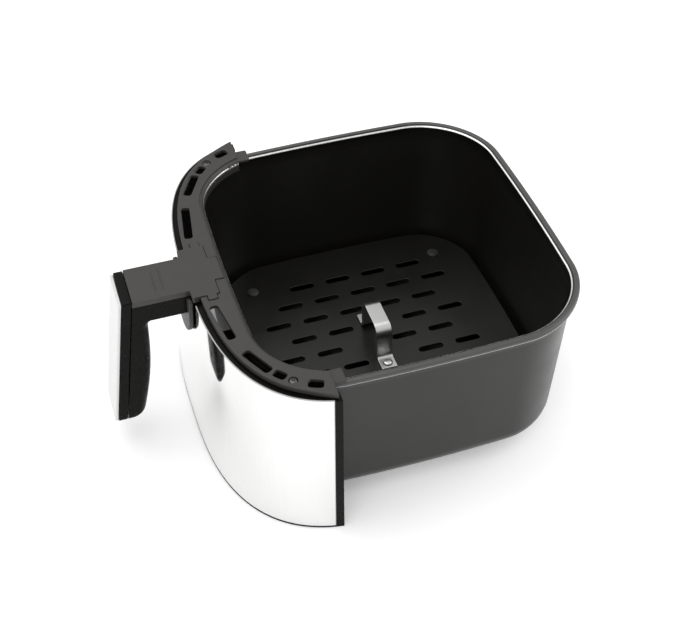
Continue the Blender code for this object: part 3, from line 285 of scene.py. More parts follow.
def make_materials():
    pan = Surface("coated_steel", (0.0075, 0.0072, 0.0061), 0.33, Specular_IOR_Level=0.42)
    speckle = pan.remap(pan.noise(2600, 1.0), 0, 1, 0.64, 0.72)
    pan.colour(pan.blend(speckle, (0.0072, 0.0069, 0.0058), (0.015, 0.0145, 0.0133)))
    pan.roughness(pan.remap(pan.noise(38, 4.0), 0.28, 0.38))
    pan.bump((pan.noise(1500, 2.0), 0.000010), (pan.noise(320, 1.0), 0.000015))

    # A lighter copy of the pan's coating for the rim's crown and outer lip: a painted sheen where the same
    # coating catches the light.
    rim = Surface("coated_rim_painted_sheen", (0.050, 0.048, 0.047), 0.32, Specular_IOR_Level=0.6)
    rim.colour(rim.blend(rim.noise(420, 3.0), (0.044, 0.0425, 0.0415), (0.058, 0.056, 0.055)))
    rim.roughness(rim.remap(rim.noise(60, 3.0), 0.26, 0.36))
    rim.bump((rim.noise(1500, 2.0), 0.000006))

    # A pale metal finish that paints the bright highlight lines on the pan's rolled edge, its lip bead and
    # the collar lip's crest.
    painted_highlight = Surface("painted_highlight_edge", (0.82, 0.82, 0.81), 0.30, 1.0)
    painted_highlight.colour(painted_highlight.blend(painted_highlight.noise(300, 3.0), (0.72, 0.72, 0.71), (0.90, 0.90, 0.89)))
    painted_highlight.roughness(painted_highlight.remap(painted_highlight.noise(500, 3.0), 0.24, 0.40))

    grey = Surface("grey_plastic", (0.035, 0.0325, 0.0312), 0.46, Specular_IOR_Level=0.4)
    grey.colour(grey.blend(grey.noise(90, 4.0), (0.0315, 0.0293, 0.0281), (0.0385, 0.0358, 0.0343)))
    grey.roughness(grey.remap(grey.noise(700, 3.0), 0.40, 0.52))
    grey.bump((grey.cells(2600), 0.00002), (grey.noise(900, 2.0), 0.000014))

    black = Surface("black_plastic", (0.0036, 0.0034, 0.0029), 0.26, Specular_IOR_Level=0.08)
    black.colour(black.blend(black.noise(80, 4.0), (0.0033, 0.0031, 0.0026), (0.0040, 0.0038, 0.0033)))
    black.roughness(black.remap(black.noise(140, 2.0), 0.25, 0.29))

    inside = Surface("shell_inside", (0.0035, 0.0035, 0.0033), 0.9, Specular_IOR_Level=0.05)
    inside.colour(inside.blend(inside.noise(120, 3.0), (0.003, 0.003, 0.0028), (0.0045, 0.0045, 0.0042)))
    inside.bump((inside.noise(600, 2.0), 0.00002))

    steel = Surface("polished_steel", (0.80, 0.797, 0.793), 0.055, 1.0)
    grain = steel.noise(1.0, 3.0, 0.6, stretch=(1700, 1700, 14))
    steel.colour(steel.blend(steel.remap(grain, 0, 1), (0.785, 0.782, 0.778), (0.815, 0.812, 0.808)))
    steel.roughness(steel.remap(steel.noise(1.0, 2.0, 0.5, stretch=(900, 900, 8)), 0.045, 0.068))
    steel.bump((grain, 0.0000004), (steel.noise(18, 2.0), 0.00001))

    # The skin's hem and edge bevels: partly a rougher cut edge, partly a pale diffuse grey that paints the
    # bright highlight line along the top and end edges.
    hem = Surface("skin_hem_and_highlight", (0.40, 0.398, 0.395), 0.45, 0.35)
    hem.colour(hem.blend(hem.noise(400, 2.0), (0.37, 0.37, 0.367), (0.43, 0.43, 0.427)))

    silver = Surface("silver_plastic", (0.62, 0.62, 0.617), 0.30, 0.25, Coat_Weight=0.3, Coat_Roughness=0.12)
    silver.colour(silver.blend(silver.noise(70, 2.0), (0.635, 0.635, 0.632), (0.605, 0.605, 0.602)))
    silver.roughness(silver.remap(silver.noise(240, 3.0), 0.28, 0.34))

    oxide = Surface("black_oxide", (0.11, 0.108, 0.105), 0.34, 1.0)
    oxide.colour(oxide.blend(oxide.noise(500, 3.0), (0.085, 0.083, 0.080), (0.14, 0.138, 0.135)))
    oxide.roughness(oxide.remap(oxide.noise(700, 3.0), 0.26, 0.42))

    zinc = Surface("zinc_steel", (0.60, 0.60, 0.585), 0.32, 1.0)
    zinc.colour(zinc.blend(zinc.noise(60, 3.0), (0.57, 0.57, 0.555), (0.63, 0.63, 0.615)))
    zinc.roughness(zinc.remap(zinc.noise(120, 3.0), 0.28, 0.36))
    zinc.bump((zinc.noise(1.0, 2.0, 0.5, stretch=(1500, 120, 1500)), 0.000003))

    silicone = Surface("silicone", (0.016, 0.016, 0.016), 0.62, 0.0, Sheen_Weight=0.15)
    silicone.colour(silicone.blend(silicone.noise(300, 3.0), (0.013, 0.013, 0.013), (0.022, 0.022, 0.022)))
    silicone.roughness(silicone.remap(silicone.noise(700, 3.0), 0.55, 0.70))
    silicone.bump((silicone.noise(1800, 2.0), 0.00002))

    made = dict(pan=pan, rim=rim, painted_highlight=painted_highlight, grey=grey, black=black, inside=inside, steel=steel, hem=hem,
                silver=silver, oxide=oxide, zinc=zinc, silicone=silicone)
    return {name: surface.material for name, surface in made.items()}


MATERIALS = make_materials()


# ---- Mesh helpers


def add_piece(name, mesh, finish, body, replaced=(), others=()):
    """A visible piece with its finish, on its body, standing for the CAD nodes it replaces."""
    obj = bpy.data.objects.new(name, mesh)
    bpy.context.scene.collection.objects.link(obj)
    groups = [polygon.material_index for polygon in mesh.polygons]
    mesh.materials.clear()
    for key in (finish, *others):
        mesh.materials.append(MATERIALS[key])
    mesh.polygons.foreach_set("material_index", groups)
    mesh.shade_smooth()
    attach(obj, body)
    if replaced:
        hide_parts(*replaced)
    return obj


def mesh_from(name, build):
    shape = bmesh.new()
    build(shape)
    bmesh.ops.recalc_face_normals(shape, faces=shape.faces)
    mesh = bpy.data.meshes.new(name)
    shape.to_mesh(mesh)
    shape.free()
    return mesh


def evaluated(obj):
    """The object's mesh with its modifiers applied and its own place kept, as a new mesh."""
    graph = bpy.context.evaluated_depsgraph_get()
    mesh = bpy.data.meshes.new_from_object(obj.evaluated_get(graph))
    mesh.transform(obj.matrix_world)
    return mesh


def scratch(name, mesh, matrix=None):
    """A helper object, removed again once its shape has been used."""
    obj = bpy.data.objects.new(name, mesh)
    bpy.context.scene.collection.objects.link(obj)
    if matrix is not None:
        obj.matrix_world = matrix
    return obj


def combined(base, others, operation):
    """The mesh that a Boolean of a mesh with a list of meshes, all by one operation, leaves."""
    obj = scratch("boolean_base", base)
    helpers = []
    for mesh in others:
        helper = scratch("boolean_other", mesh)
        helpers.append(helper)
        modifier = obj.modifiers.new("boolean", "BOOLEAN")
        modifier.operation = operation
        modifier.solver = "EXACT"
        modifier.object = helper
    bpy.context.view_layer.update()
    result = evaluated(obj)
    for helper in [*helpers, obj]:
        bpy.data.objects.remove(helper)
    shape = bmesh.new()
    shape.from_mesh(result)
    bmesh.ops.remove_doubles(shape, verts=shape.verts, dist=2e-6)
    bmesh.ops.dissolve_limit(shape, angle_limit=math.radians(0.4), verts=shape.verts, edges=shape.edges)
    shape.to_mesh(result)
    shape.free()
    return result


def soften(obj, width, segments=3, angle=40, edge_finish=-1):
    """Rounded edges, with the flat faces kept flat in the shading."""
    bevel = obj.modifiers.new("edges", "BEVEL")
    bevel.width = width
    bevel.segments = segments
    bevel.limit_method = "ANGLE"
    bevel.angle_limit = math.radians(angle)
    bevel.use_clamp_overlap = True
    bevel.material = edge_finish
    return weigh(obj)


def weigh(obj):
    normals = obj.modifiers.new("normals", "WEIGHTED_NORMAL")
    normals.mode = "FACE_AREA"
    normals.weight = 70
    normals.keep_sharp = True
    return obj


def loft_mesh(name, rings, closed_profile=True, caps=True):
    """A skin through rings of equal point count, with its ends filled."""

    def build(shape):
        rows = [[shape.verts.new(point) for point in ring] for ring in rings]
        count = len(rows[0])
        span = count if closed_profile else count - 1
        for low, high in zip(rows, rows[1:]):
            for i in range(span):
                j = (i + 1) % count
                shape.faces.new((low[i], low[j], high[j], high[i]))
        if caps:
            shape.faces.new(rows[0])
            shape.faces.new(rows[-1])

    return mesh_from(name, build)


def plate_mesh(name, outlines, thickness, matrix=None, edge=0.0):
    """Flat outlines, holes among them, filled and thickened about their plane, with rounded edges."""
    curve = bpy.data.curves.new(name, "CURVE")
    curve.dimensions = "2D"
    curve.fill_mode = "BOTH"
    curve.extrude = thickness / 2 - edge
    curve.bevel_depth = edge
    curve.bevel_resolution = 2
    curve.offset = -edge
    for outline in outlines:
        spline = curve.splines.new("POLY")
        spline.points.add(len(outline) - 1)
        for point, (x, y) in zip(spline.points, outline):
            point.co = (x, y, 0, 1)
        spline.use_cyclic_u = True
    obj = scratch(name, curve, matrix)
    bpy.context.view_layer.update()
    mesh = evaluated(obj)
    bpy.data.objects.remove(obj)
    shape = bmesh.new()
    shape.from_mesh(mesh)
    bmesh.ops.remove_doubles(shape, verts=shape.verts, dist=1e-6)
    bmesh.ops.recalc_face_normals(shape, faces=shape.faces)
    shape.to_mesh(mesh)
    shape.free()
    return mesh


def box_mesh(low, high):
    def build(shape):
        bmesh.ops.create_cube(shape, size=1.0)
        bmesh.ops.scale(shape, vec=[b - a for a, b in zip(low, high)], verts=shape.verts)
        bmesh.ops.translate(shape, vec=[(a + b) / 2 for a, b in zip(low, high)], verts=shape.verts)

    return mesh_from("box", build)


def turned_mesh(name, profile, steps=TURN_STEPS):
    """A closed body turned about Z from (radius, height) points that run down its outer side."""

    def build(shape):
        rows = []
        for radius, height in profile:
            if radius < 1e-7:
                rows.append([shape.verts.new((0, 0, height))])
                continue
            turn = [math.tau * i / steps for i in range(steps)]
            rows.append([shape.verts.new((radius * math.cos(a), radius * math.sin(a), height)) for a in turn])
        for low, high in zip(rows, rows[1:]):
            for i in range(steps):
                j = (i + 1) % steps
                ring = [low[i % len(low)], low[j % len(low)], high[j % len(high)], high[i % len(high)]]
                face = list(dict.fromkeys(ring))
                if len(face) > 2:
                    shape.faces.new(face)

    return mesh_from(name, build)


def moved(mesh, matrix):
    mesh.transform(matrix)
    return mesh


def merged(name, meshes):
    """Several meshes as one, the faces of each given the material index listed with it."""
    shape = bmesh.new()
    for index, mesh in meshes:
        start = len(shape.faces)
        shape.from_mesh(mesh)
        shape.faces.ensure_lookup_table()
        for face in shape.faces[start:]:
            face.material_index = index
    result = bpy.data.meshes.new(name)
    shape.to_mesh(result)
    shape.free()
    return result


def arc(centre, radius, start, end, steps):
    angles = [math.radians(start + (end - start) * i / steps) for i in range(steps + 1)]
    return [(centre[0] + radius * math.cos(a), centre[1] + radius * math.sin(a)) for a in angles]


def filleted(points, radii, steps=4):
    """A closed outline with its corners rounded; radii is one number or one for each corner."""
    count = len(points)
    radii = radii if isinstance(radii, (list, tuple)) else [radii] * count
    result = []
    for i in range(count):
        before, corner, after = (Vector(points[(i + k) % count]) for k in (-1, 0, 1))
        into, out = before - corner, after - corner
        radius = radii[i]
        angle = into.angle(out) if into.length > 1e-9 and out.length > 1e-9 else math.pi
        if radius <= 0 or angle > math.radians(176):
            result.append(tuple(corner))
            continue
        reach = min(radius / math.tan(angle / 2), into.length * 0.48, out.length * 0.48)
        start, end = corner + into.normalized() * reach, corner + out.normalized() * reach
        for k in range(steps + 1):
            t = k / steps
            point = start * (1 - t) ** 2 + corner * 2 * t * (1 - t) + end * t**2
            result.append(tuple(point))
    return result


def capsule(length, width, steps=8):
    radius = width / 2
    reach = max(length / 2 - radius, 0)
    return arc((reach, 0), radius, -90, 90, steps) + arc((-reach, 0), radius, 90, 270, steps)


def slot_outline(length, width, corner):
    """A slot whose ends are squared off with rounded corners."""
    x, y = length / 2, width / 2
    return filleted([(x, -y), (x, y), (-x, y), (-x, -y)], corner, 6)


def placed(outline, x, y, angle, sign=1):
    """An outline turned, moved and, where sign is -1, mirrored across the drawer."""
    c, s = math.cos(angle), math.sin(angle)
    return [(sign * (x + a * c - b * s), y + a * s + b * c) for a, b in outline]


def evenly(points, count):
    points = np.array(points)
    along = np.concatenate([[0], np.cumsum(np.linalg.norm(np.diff(points, axis=0), axis=1))])
    places = np.linspace(0, along[-1], count)
    return [tuple(float(np.interp(s, along, points[:, k])) for k in range(points.shape[1])) for s in places]


# ---- Outlines in plan


def bowed(x, y, half_width, half_length):
    across, along = x / half_width, y / half_length
    dx = math.copysign(SIDE_BOW * max(0, 1 - along**2) * across**2, x)
    dy = math.copysign(SIDE_BOW * max(0, 1 - across**2) * along**2, y)
    return x + dx, y + dy


def pan_outline(inset):
    half_width, half_length = RIM_HALF_WIDTH - inset, RIM_HALF_LENGTH - inset
    corner = RIM_CORNER - inset
    points = []
    for sign_x, sign_y, start in ((1, 1, 0), (-1, 1, 90), (-1, -1, 180), (1, -1, 270)):
        centre = (sign_x * (half_width - corner), sign_y * (half_length - corner))
        points += arc(centre, corner, start, start + 90, CORNER_STEPS)
        last = points[-1]
        turn = math.radians(start + 90)
        side = 2 * ((half_width if start % 180 == 0 else half_length) - corner)
        for i in range(1, SIDE_STEPS):
            reach = side * i / SIDE_STEPS
            points.append((last[0] - math.sin(turn) * reach, last[1] + math.cos(turn) * reach))
    return [bowed(x, y, half_width, half_length) for x, y in points]


def ring(outline, z):
    return [(x, y, z) for x, y in outline]


def pan_wall_inset(z):
    share = (PAN_HEIGHT - z) / (PAN_HEIGHT - PAN_FLOOR_ROUND)
    return RIM_FLANGE + PAN_DRAFT * min(1, share)


def panel_size(z):
    share = (SKIN_TOP - z) / (SKIN_TOP - PANEL_BOTTOM)
    return PANEL_HALF_WIDTH - PANEL_TAPER * share, PANEL_DEPTH + PANEL_LEAN * share


def superellipse(angle, half_width, depth):
    cosine, sine = math.cos(angle), math.sin(angle)
    x = math.copysign(half_width * abs(cosine) ** (2 / PANEL_POWER), cosine)
    return x, PANEL_CENTRE_Y - depth * abs(sine) ** (2 / PANEL_POWER)


def end_angle(depth, end_y):
    return math.asin(((PANEL_CENTRE_Y - end_y) / depth) ** (PANEL_POWER / 2))


def station_shares(count):
    first = end_angle(PANEL_DEPTH, PANEL_END_Y)
    shares = np.linspace(0, 1, 4001)
    angles = first + (math.pi - 2 * first) * shares
    points = np.array([superellipse(a, PANEL_HALF_WIDTH, PANEL_DEPTH) for a in angles])
    along = np.concatenate([[0], np.cumsum(np.linalg.norm(np.diff(points, axis=0), axis=1))])
    return [float(np.interp(s, along, shares)) for s in np.linspace(0, along[-1], count)], float(along[-1])


def panel_point(share, inset, z, end_y=PANEL_END_Y):
    half_width, depth = panel_size(z)
    first = end_angle(depth - inset, end_y)
    angle = first + (math.pi - 2 * first) * share
    return superellipse(angle, half_width - inset, depth - inset)


def deck_inset(share):
    """From the panel's outline to the deck's edge, which flares outward towards each end."""
    reach = max(0.0, 1 - min(share, 1 - share) / FLARE_SHARE)
    return DECK_INSET - DECK_FLARE * reach**2


def panel_y(x, inset, z):
    half_width, depth = panel_size(z)
    across = abs(x) / (half_width - inset)
    return PANEL_CENTRE_Y - (depth - inset) * (1 - across**PANEL_POWER) ** (1 / PANEL_POWER)


def panel_x(y, inset, z):
    half_width, depth = panel_size(z)
    along = (PANEL_CENTRE_Y - y) / (depth - inset)
    return (half_width - inset) * (1 - along**PANEL_POWER) ** (1 / PANEL_POWER)


def front_run(inset, end_y, count):
    """The part of a rim outline in front of end_y, from the right end to the left end, evenly spaced."""
    outline = pan_outline(inset)
    fine = evenly(outline + outline[:1], 2400)
    right = sorted((p for p in fine if p[1] <= end_y and p[0] >= 0), key=lambda p: -math.atan2(p[1], p[0]))
    above = min((p for p in fine if p[1] > end_y and p[0] > 0), key=lambda p: p[1])
    first = right[0]
    share = (end_y - first[1]) / (above[1] - first[1])
    start = (first[0] + (above[0] - first[0]) * share, end_y)
    run = [start] + right
    return evenly(run + [(-x, y) for x, y in reversed(run)], count)


def seam_y(z):
    return SEAM_Y - HANDLE_SLOPE * (ARM_TOP - z)


def seam_matrix(offset=0.0):
    """From a front view to the leaning seam plane: X across, Y height above the arm's top, Z forward."""
    return Matrix(((1, 0, 0, 0), (0, HANDLE_SLOPE, -1, SEAM_Y + offset), (0, 1, 0, ARM_TOP), (0, 0, 0, 1)))


SIDE_VIEW = Matrix.Rotation(math.pi / 2, 4, "Z") @ Matrix.Rotation(math.pi / 2, 4, "X")


# ---- Pan


def build_pan():
    """The pan, with a rolled rim: its crowned top and outer lip are in the lighter rim finish, a painted
    sheen, and its rolled inner edge and the bead at the lip's foot are in a pale metal finish that paints
    their highlight lines.

    The rim's run under the collar is matt black instead, as painted shade, so that it doesn't show in the
    deck's slots.
    """
    foot = RIM_FLANGE + PAN_DRAFT
    inner_round = PAN_FLOOR_ROUND - PAN_WALL
    top = PAN_HEIGHT
    throat = RIM_FLANGE + PAN_WALL
    floor_steps = 10
    inside = [(foot + PAN_WALL + inner_round + 0.03, PAN_WALL)]
    inside += [(foot + PAN_WALL + inner_round + x, PAN_FLOOR_ROUND + z)
               for x, z in arc((0, 0), inner_round, 270, 180, floor_steps)]
    inside += [(throat + PAN_DRAFT * s, top - 0.0032 - (top - PAN_FLOOR_ROUND) * s)
               for s in (0.75, 0.5, 0.25, 0.1)]
    rolled = arc((throat - 0.0001, top - 0.0021), 0.0007, -70, 75, 8)
    slope = [(throat - 0.0004, top - 0.0011), (throat - 0.0009, top - 0.0007)]
    crown = [(throat - 0.0015, top - 0.0003), (throat - 0.0022, top - 0.0001), (throat - 0.0029, top)]
    crown += [(throat - 0.0035, top - 0.0001)]
    outer = arc((0.0012, top - 0.0015), 0.0012, 90, 180, 5)
    lip_low = top - RIM_LIP
    bead = arc((0.00065, lip_low + 0.00065), 0.00065, 180, 360, 8)
    under = [(PAN_WALL + 0.0001, top - PAN_WALL - 0.0006), (0.0022, top - PAN_WALL - 0.0001),
             (RIM_FLANGE, top - 0.0016)]
    wall = [(RIM_FLANGE + PAN_DRAFT * s, top - 0.0016 - (top - PAN_FLOOR_ROUND) * s)
            for s in (0.1, 0.25, 0.5, 0.75)]
    outside = [(foot + PAN_FLOOR_ROUND + x, PAN_FLOOR_ROUND + z)
               for x, z in arc((0, 0), PAN_FLOOR_ROUND, 180, 270, floor_steps)]
    outside += [(foot + PAN_FLOOR_ROUND + 0.03, 0.0)]
    # Finish 1 is the rim's painted sheen, finish 2 the painted highlight on the rolled inner edge and on the
    # lip's bead.
    groups = [(0, inside), (2, rolled), (0, slope), (1, crown + outer), (2, bead),
              (0, under + wall + outside)]
    profile = [point for _, part in groups for point in part]
    mesh = loft_mesh("pan_body", [ring(pan_outline(inset), z) for inset, z in profile])
    counts = []
    for index, part in groups:
        counts += [index] * len(part)
    per_row = len(pan_outline(0))
    for i, polygon in enumerate(mesh.polygons):
        row = min(i // per_row, len(counts) - 1)
        # Rim faces under the collar take the matt black inside finish: painted shade, so they stay dark in
        # the deck's slots.
        shaded_under_collar = counts[row] > 0 and polygon.center.y < DECK_END_Y
        polygon.material_index = 3 if shaded_under_collar else counts[row]
    return add_piece("pan_body", mesh, "pan", "drawer", ["pan"], ["rim", "painted_highlight", "inside"])


# ---- Crisper plate


def plate_slot_places():
    columns, rows = PLATE_SLOT_COUNT
    pitch_x, pitch_y = PLATE_SLOT_PITCH
    length, width = PLATE_SLOT
    places = []
    for column in range(columns):
        shift = pitch_y / 2 if column % 2 else 0
        for row in range(rows):
            x = (column - (columns - 1) / 2) * pitch_x
            y = (row - (rows - 1) / 2) * pitch_y + shift - pitch_y / 4
            margin = FOOT_HEAD + width
            near_foot = (abs(abs(x) - FOOT_PLACE[0]) < margin
                         and abs(abs(y) - FOOT_PLACE[1]) < margin + length / 2)
            loop_reach = LOOP_HALF_WIDTH + LOOP_FOOT + width
            near_loop = abs(x) < loop_reach and abs(y) < LOOP_STRAP / 2 + length / 2
            if not (near_foot or near_loop):
                places.append((x, y))
    return places


def build_crisper():
    """The slotted plate with its turned-down edge, its feet and the lifting loop."""
    low = PLATE_TOP - PLATE_SKIRT
    inset = pan_wall_inset(low) + PAN_WALL + PLATE_PLAY
    top = pan_outline(inset + PLATE_ROUND)
    slots = [placed(capsule(*PLATE_SLOT, steps=7), x, y, math.pi / 2) for x, y in plate_slot_places()]
    sheet = plate_mesh("plate_sheet", [top, *slots], PLATE_WALL,
                       Matrix.Translation((0, 0, PLATE_TOP - PLATE_WALL / 2)), 0.00035)
    inner = PLATE_ROUND - PLATE_WALL
    profile = [(inset + PLATE_ROUND + 0.0006, PLATE_TOP - PLATE_WALL + 0.0001)]
    profile += [(inset + PLATE_ROUND - x, z)
                for x, z in arc((0, PLATE_TOP - PLATE_ROUND), inner, 90, 0, 5)]
    profile += [(inset + PLATE_WALL * 1.3, low + 0.0006)]
    profile += [(inset + PLATE_WALL * 0.65 - x, z) for x, z in arc((0, low + 0.0007), 0.00065, 180, 360, 6)]
    profile += [(inset + PLATE_ROUND + x, z)
                for x, z in arc((0, PLATE_TOP - PLATE_ROUND), PLATE_ROUND, 180, 90, 7)]
    profile += [(inset + PLATE_ROUND + 0.0006, PLATE_TOP - 0.0001)]
    skirt = loft_mesh("plate_skirt", [ring(pan_outline(d), z) for d, z in profile + profile[:1]], caps=False)
    plate = add_piece("crisper_sheet", merged("crisper_sheet", [(0, sheet), (0, skirt)]), "pan", "crisper",
                      ["crisper_plate"])
    weigh(plate)

    x, y = FOOT_PLACE
    places = {"front_left": (-x, -y), "front_right": (x, -y), "rear_left": (-x, y), "rear_right": (x, y)}
    under, over = PLATE_TOP - PLATE_WALL - GAP, PLATE_TOP + GAP
    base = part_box("plate_foot_front_left")[0].z
    profile = [(0, over + FOOT_HEAD_HEIGHT), (FOOT_HEAD * 0.45, over + FOOT_HEAD_HEIGHT * 0.92),
               (FOOT_HEAD * 0.80, over + FOOT_HEAD_HEIGHT * 0.62),
               (FOOT_HEAD * 0.97, over + FOOT_HEAD_HEIGHT * 0.25),
               (FOOT_HEAD, over + 0.0001), (FOOT_HEAD * 0.97, over), (FOOT_NECK, over), (FOOT_NECK, under),
               (FOOT_RADIUS * 0.97, under), (FOOT_RADIUS, under - 0.0003),
               (FOOT_RADIUS * 0.88, base + 0.0008),
               (FOOT_RADIUS * 0.80, base), (0, base)]
    for corner, place in places.items():
        mesh = moved(turned_mesh("foot", profile), Matrix.Translation((*place, 0)))
        foot = add_piece(f"foot_{corner}", mesh, "silicone", "crisper", [f"plate_foot_{corner}"])
        mesh.set_sharp_from_angle(angle=math.radians(50))
        foot.data.update()

    build_loop()


def build_loop():
    base = PLATE_TOP + GAP + LOOP_WALL / 2
    top = base + LOOP_HEIGHT
    side = LOOP_HALF_WIDTH
    half = [(side + LOOP_FOOT, base)]
    half += arc((side + LOOP_BEND, base + LOOP_BEND), LOOP_BEND, 270, 180, 10)
    half += arc((side - 2 * LOOP_BEND, top - 2 * LOOP_BEND), 2 * LOOP_BEND, 0, 90, 14)
    line = half + [(-x, z) for x, z in reversed(half)]

    def build(shape):
        rows = []
        for i, (x, z) in enumerate(line):
            end = max(0.0, abs(x) - (side + LOOP_FOOT - LOOP_STRAP / 2))
            half_strap = LOOP_STRAP / 2
            rows.append([shape.verts.new((x, y * half_strap, z)) for y in (-1, -0.5, 0, 0.5, 1)])
        for low, high in zip(rows, rows[1:]):
            for k in range(4):
                shape.faces.new((low[k], low[k + 1], high[k + 1], high[k]))

    strap = scratch("strap", mesh_from("strap", build))
    solid = strap.modifiers.new("thickness", "SOLIDIFY")
    solid.thickness = LOOP_WALL
    solid.offset = 0
    solid.use_even_offset = True
    bpy.context.view_layer.update()
    mesh = evaluated(strap)
    bpy.data.objects.remove(strap)
    loop = add_piece("loop_strap", mesh, "zinc", "crisper", ["lift_loop"])
    soften(loop, 0.0005, 3, 50)

    over = PLATE_TOP + LOOP_WALL + 2 * GAP
    under = PLATE_TOP - PLATE_WALL - GAP
    profile = [(0, over + 0.0013), (RIVET_HEAD * 0.4, over + 0.00122), (RIVET_HEAD * 0.75, over + 0.0009),
               (RIVET_HEAD * 0.95, over + 0.0004), (RIVET_HEAD, over), (RIVET_RADIUS, over),
               (RIVET_RADIUS, under), (RIVET_HEAD, under), (RIVET_HEAD * 0.8, under - 0.0008),
               (0, under - 0.0008)]
    reach = LOOP_HALF_WIDTH + LOOP_FOOT * 0.6
    for side_name, x in (("left", -reach), ("right", reach)):
        mesh = moved(turned_mesh("rivet", profile, 32), Matrix.Translation((x, 0, 0)))
        mesh.set_sharp_from_angle(angle=math.radians(50))
        add_piece(f"rivet_{side_name}", mesh, "zinc", "crisper", [f"loop_rivet_{side_name}"])


# ---- Front panel


def panel_loft(name, profile_at, first, last, count=PANEL_STATIONS):
    """A sweep along the panel from one share of it to another of a profile of (inset, z) points."""
    shares, _ = station_shares(count)
    stations = [first] + [s for s in shares if first < s < last] + [last]
    rings = [[(*panel_point(share, inset, z), z) for inset, z in profile_at] for share in stations]
    return loft_mesh(name, rings)


def mark_inside(mesh):
    """Gives the faces that look in towards the pan the second finish."""
    for polygon in mesh.polygons:
        outward = Vector((polygon.center.x, polygon.center.y - PANEL_CENTRE_Y, 0))
        polygon.material_index = 1 if polygon.normal.dot(outward) < -0.3 * outward.length else 0


def build_front_shell():
    """The black wall: its end strips stand level with the skin, and its foot runs under it."""
    shares, length = station_shares(PANEL_STATIONS)
    strip = float(np.interp(END_STRIP / length, np.linspace(0, 1, PANEL_STATIONS), shares))
    inner = SKIN_WALL + GAP + SHELL_WALL
    recess = SKIN_WALL + GAP
    low, top = PANEL_BOTTOM, LEDGE_TOP
    wall = filleted(
        [(0.0, low), (0.0, low + SKIN_FOOT), (recess, low + SKIN_FOOT), (recess, top), (SHELL_FLANGE, top),
         (SHELL_FLANGE, top - FLANGE_WALL), (inner, top - FLANGE_WALL), (inner, low)],
        [0.0005, 0.0003, 0, 0.0003, 0.0004, 0, 0.0006, 0.0004], 3)
    strip_profile = filleted(
        [(0.0, low), (0.0, top), (SHELL_FLANGE, top), (SHELL_FLANGE, top - FLANGE_WALL),
         (inner, top - FLANGE_WALL), (inner, low)], [0.0005, 0.0006, 0.0004, 0, 0.0006, 0.0004], 3)
    reach = ARM_HALF_WIDTH + GAP
    front = panel_y(0, 0, PANEL_BOTTOM) - 0.01
    middle = panel_loft("shell_wall", wall, strip * 0.6, 1 - strip * 0.6)
    notch = box_mesh((-reach, front, ARM_BOTTOM - GAP), (reach, ARM_INNER_Y, COLLAR_TOP))
    middle = combined(middle, [notch], "DIFFERENCE")
    ends = []
    for first, last in ((0.0, strip), (1 - strip, 1.0)):
        ends.append(panel_loft("shell_end", strip_profile, first, last, 601))
    mark_inside(middle)
    shell = add_piece("shell_wall", middle, "black", "drawer", ["front_shell"], ["inside"])
    soften(shell, 0.0004, 2, 50)
    for side, mesh in zip(("right", "left"), ends):
        mark_inside(mesh)
        end = add_piece(f"shell_end_{side}", mesh, "black", "drawer", ["front_shell"], ["inside"])
        soften(end, 0.0006, 3, 50)
    return shell


def build_steel_skin():
    shares, length = station_shares(PANEL_STATIONS)
    strip = float(np.interp((END_STRIP + GAP) / length, np.linspace(0, 1, PANEL_STATIONS), shares))
    low = PANEL_BOTTOM + SKIN_FOOT + GAP
    profile = filleted([(0.0, low), (0.0, SKIN_TOP), (SKIN_WALL, SKIN_TOP), (SKIN_WALL, low)],
                       [0.00035, 0.00045, 0.0001, 0.0001], 4)
    mesh = panel_loft("steel_sheet", profile, strip, 1 - strip, 241)
    front = panel_y(0, 0, PANEL_BOTTOM) - 0.01
    outline = filleted(
        [(CUTOUT_HALF_WIDTH, CUTOUT_BOTTOM), (CUTOUT_HALF_WIDTH, COLLAR_TOP + 0.01),
         (-CUTOUT_HALF_WIDTH, COLLAR_TOP + 0.01), (-CUTOUT_HALF_WIDTH, CUTOUT_BOTTOM)],
        [CUTOUT_CORNER, 0, 0, CUTOUT_CORNER], 8)
    turn = Matrix.Translation((0, (front + ARM_INNER_Y) / 2, 0)) @ Matrix.Rotation(math.pi / 2, 4, "X")
    cutout = plate_mesh("cutout", [outline], ARM_INNER_Y - front, turn)
    mesh = combined(mesh, [cutout], "DIFFERENCE")
    end_y = max(vertex.co.y for vertex in mesh.vertices)
    # The top and end edges get the hem finish, and the bevels too: partly a rougher cut edge, partly a
    # painted highlight line.
    for polygon in mesh.polygons:
        if polygon.center.z > SKIN_TOP - HEM_HEIGHT or polygon.center.y > end_y - HEM_WIDTH:
            polygon.material_index = 1
    skin = add_piece("steel_sheet", mesh, "steel", "drawer", ["steel_skin"], ["hem"])
    return soften(skin, 0.00025, 3, 50, 1)


# ---- Collar


def plate_half(margin, front_y):
    """One side of the T-shaped plate's outline, from its tongue forward."""
    return [
        (TONGUE_HALF_WIDTH + margin, TONGUE_BACK_Y + margin),
        (TONGUE_HALF_WIDTH + margin, PLATE_BACK_Y + margin),
        (YOKE_HALF_WIDTH + margin, PLATE_BACK_Y + margin),
        (YOKE_HALF_WIDTH + margin, EAR_BACK_Y + margin),
        (EAR_HALF_WIDTH + margin, EAR_BACK_Y + margin),
        (EAR_HALF_WIDTH + margin, EAR_FRONT_Y - margin),
        (YOKE_HALF_WIDTH + margin, EAR_FRONT_Y - margin),
        (YOKE_HALF_WIDTH + margin, front_y),
    ]


def mirrored(half):
    return half + [(-x, y) for x, y in reversed(half)]


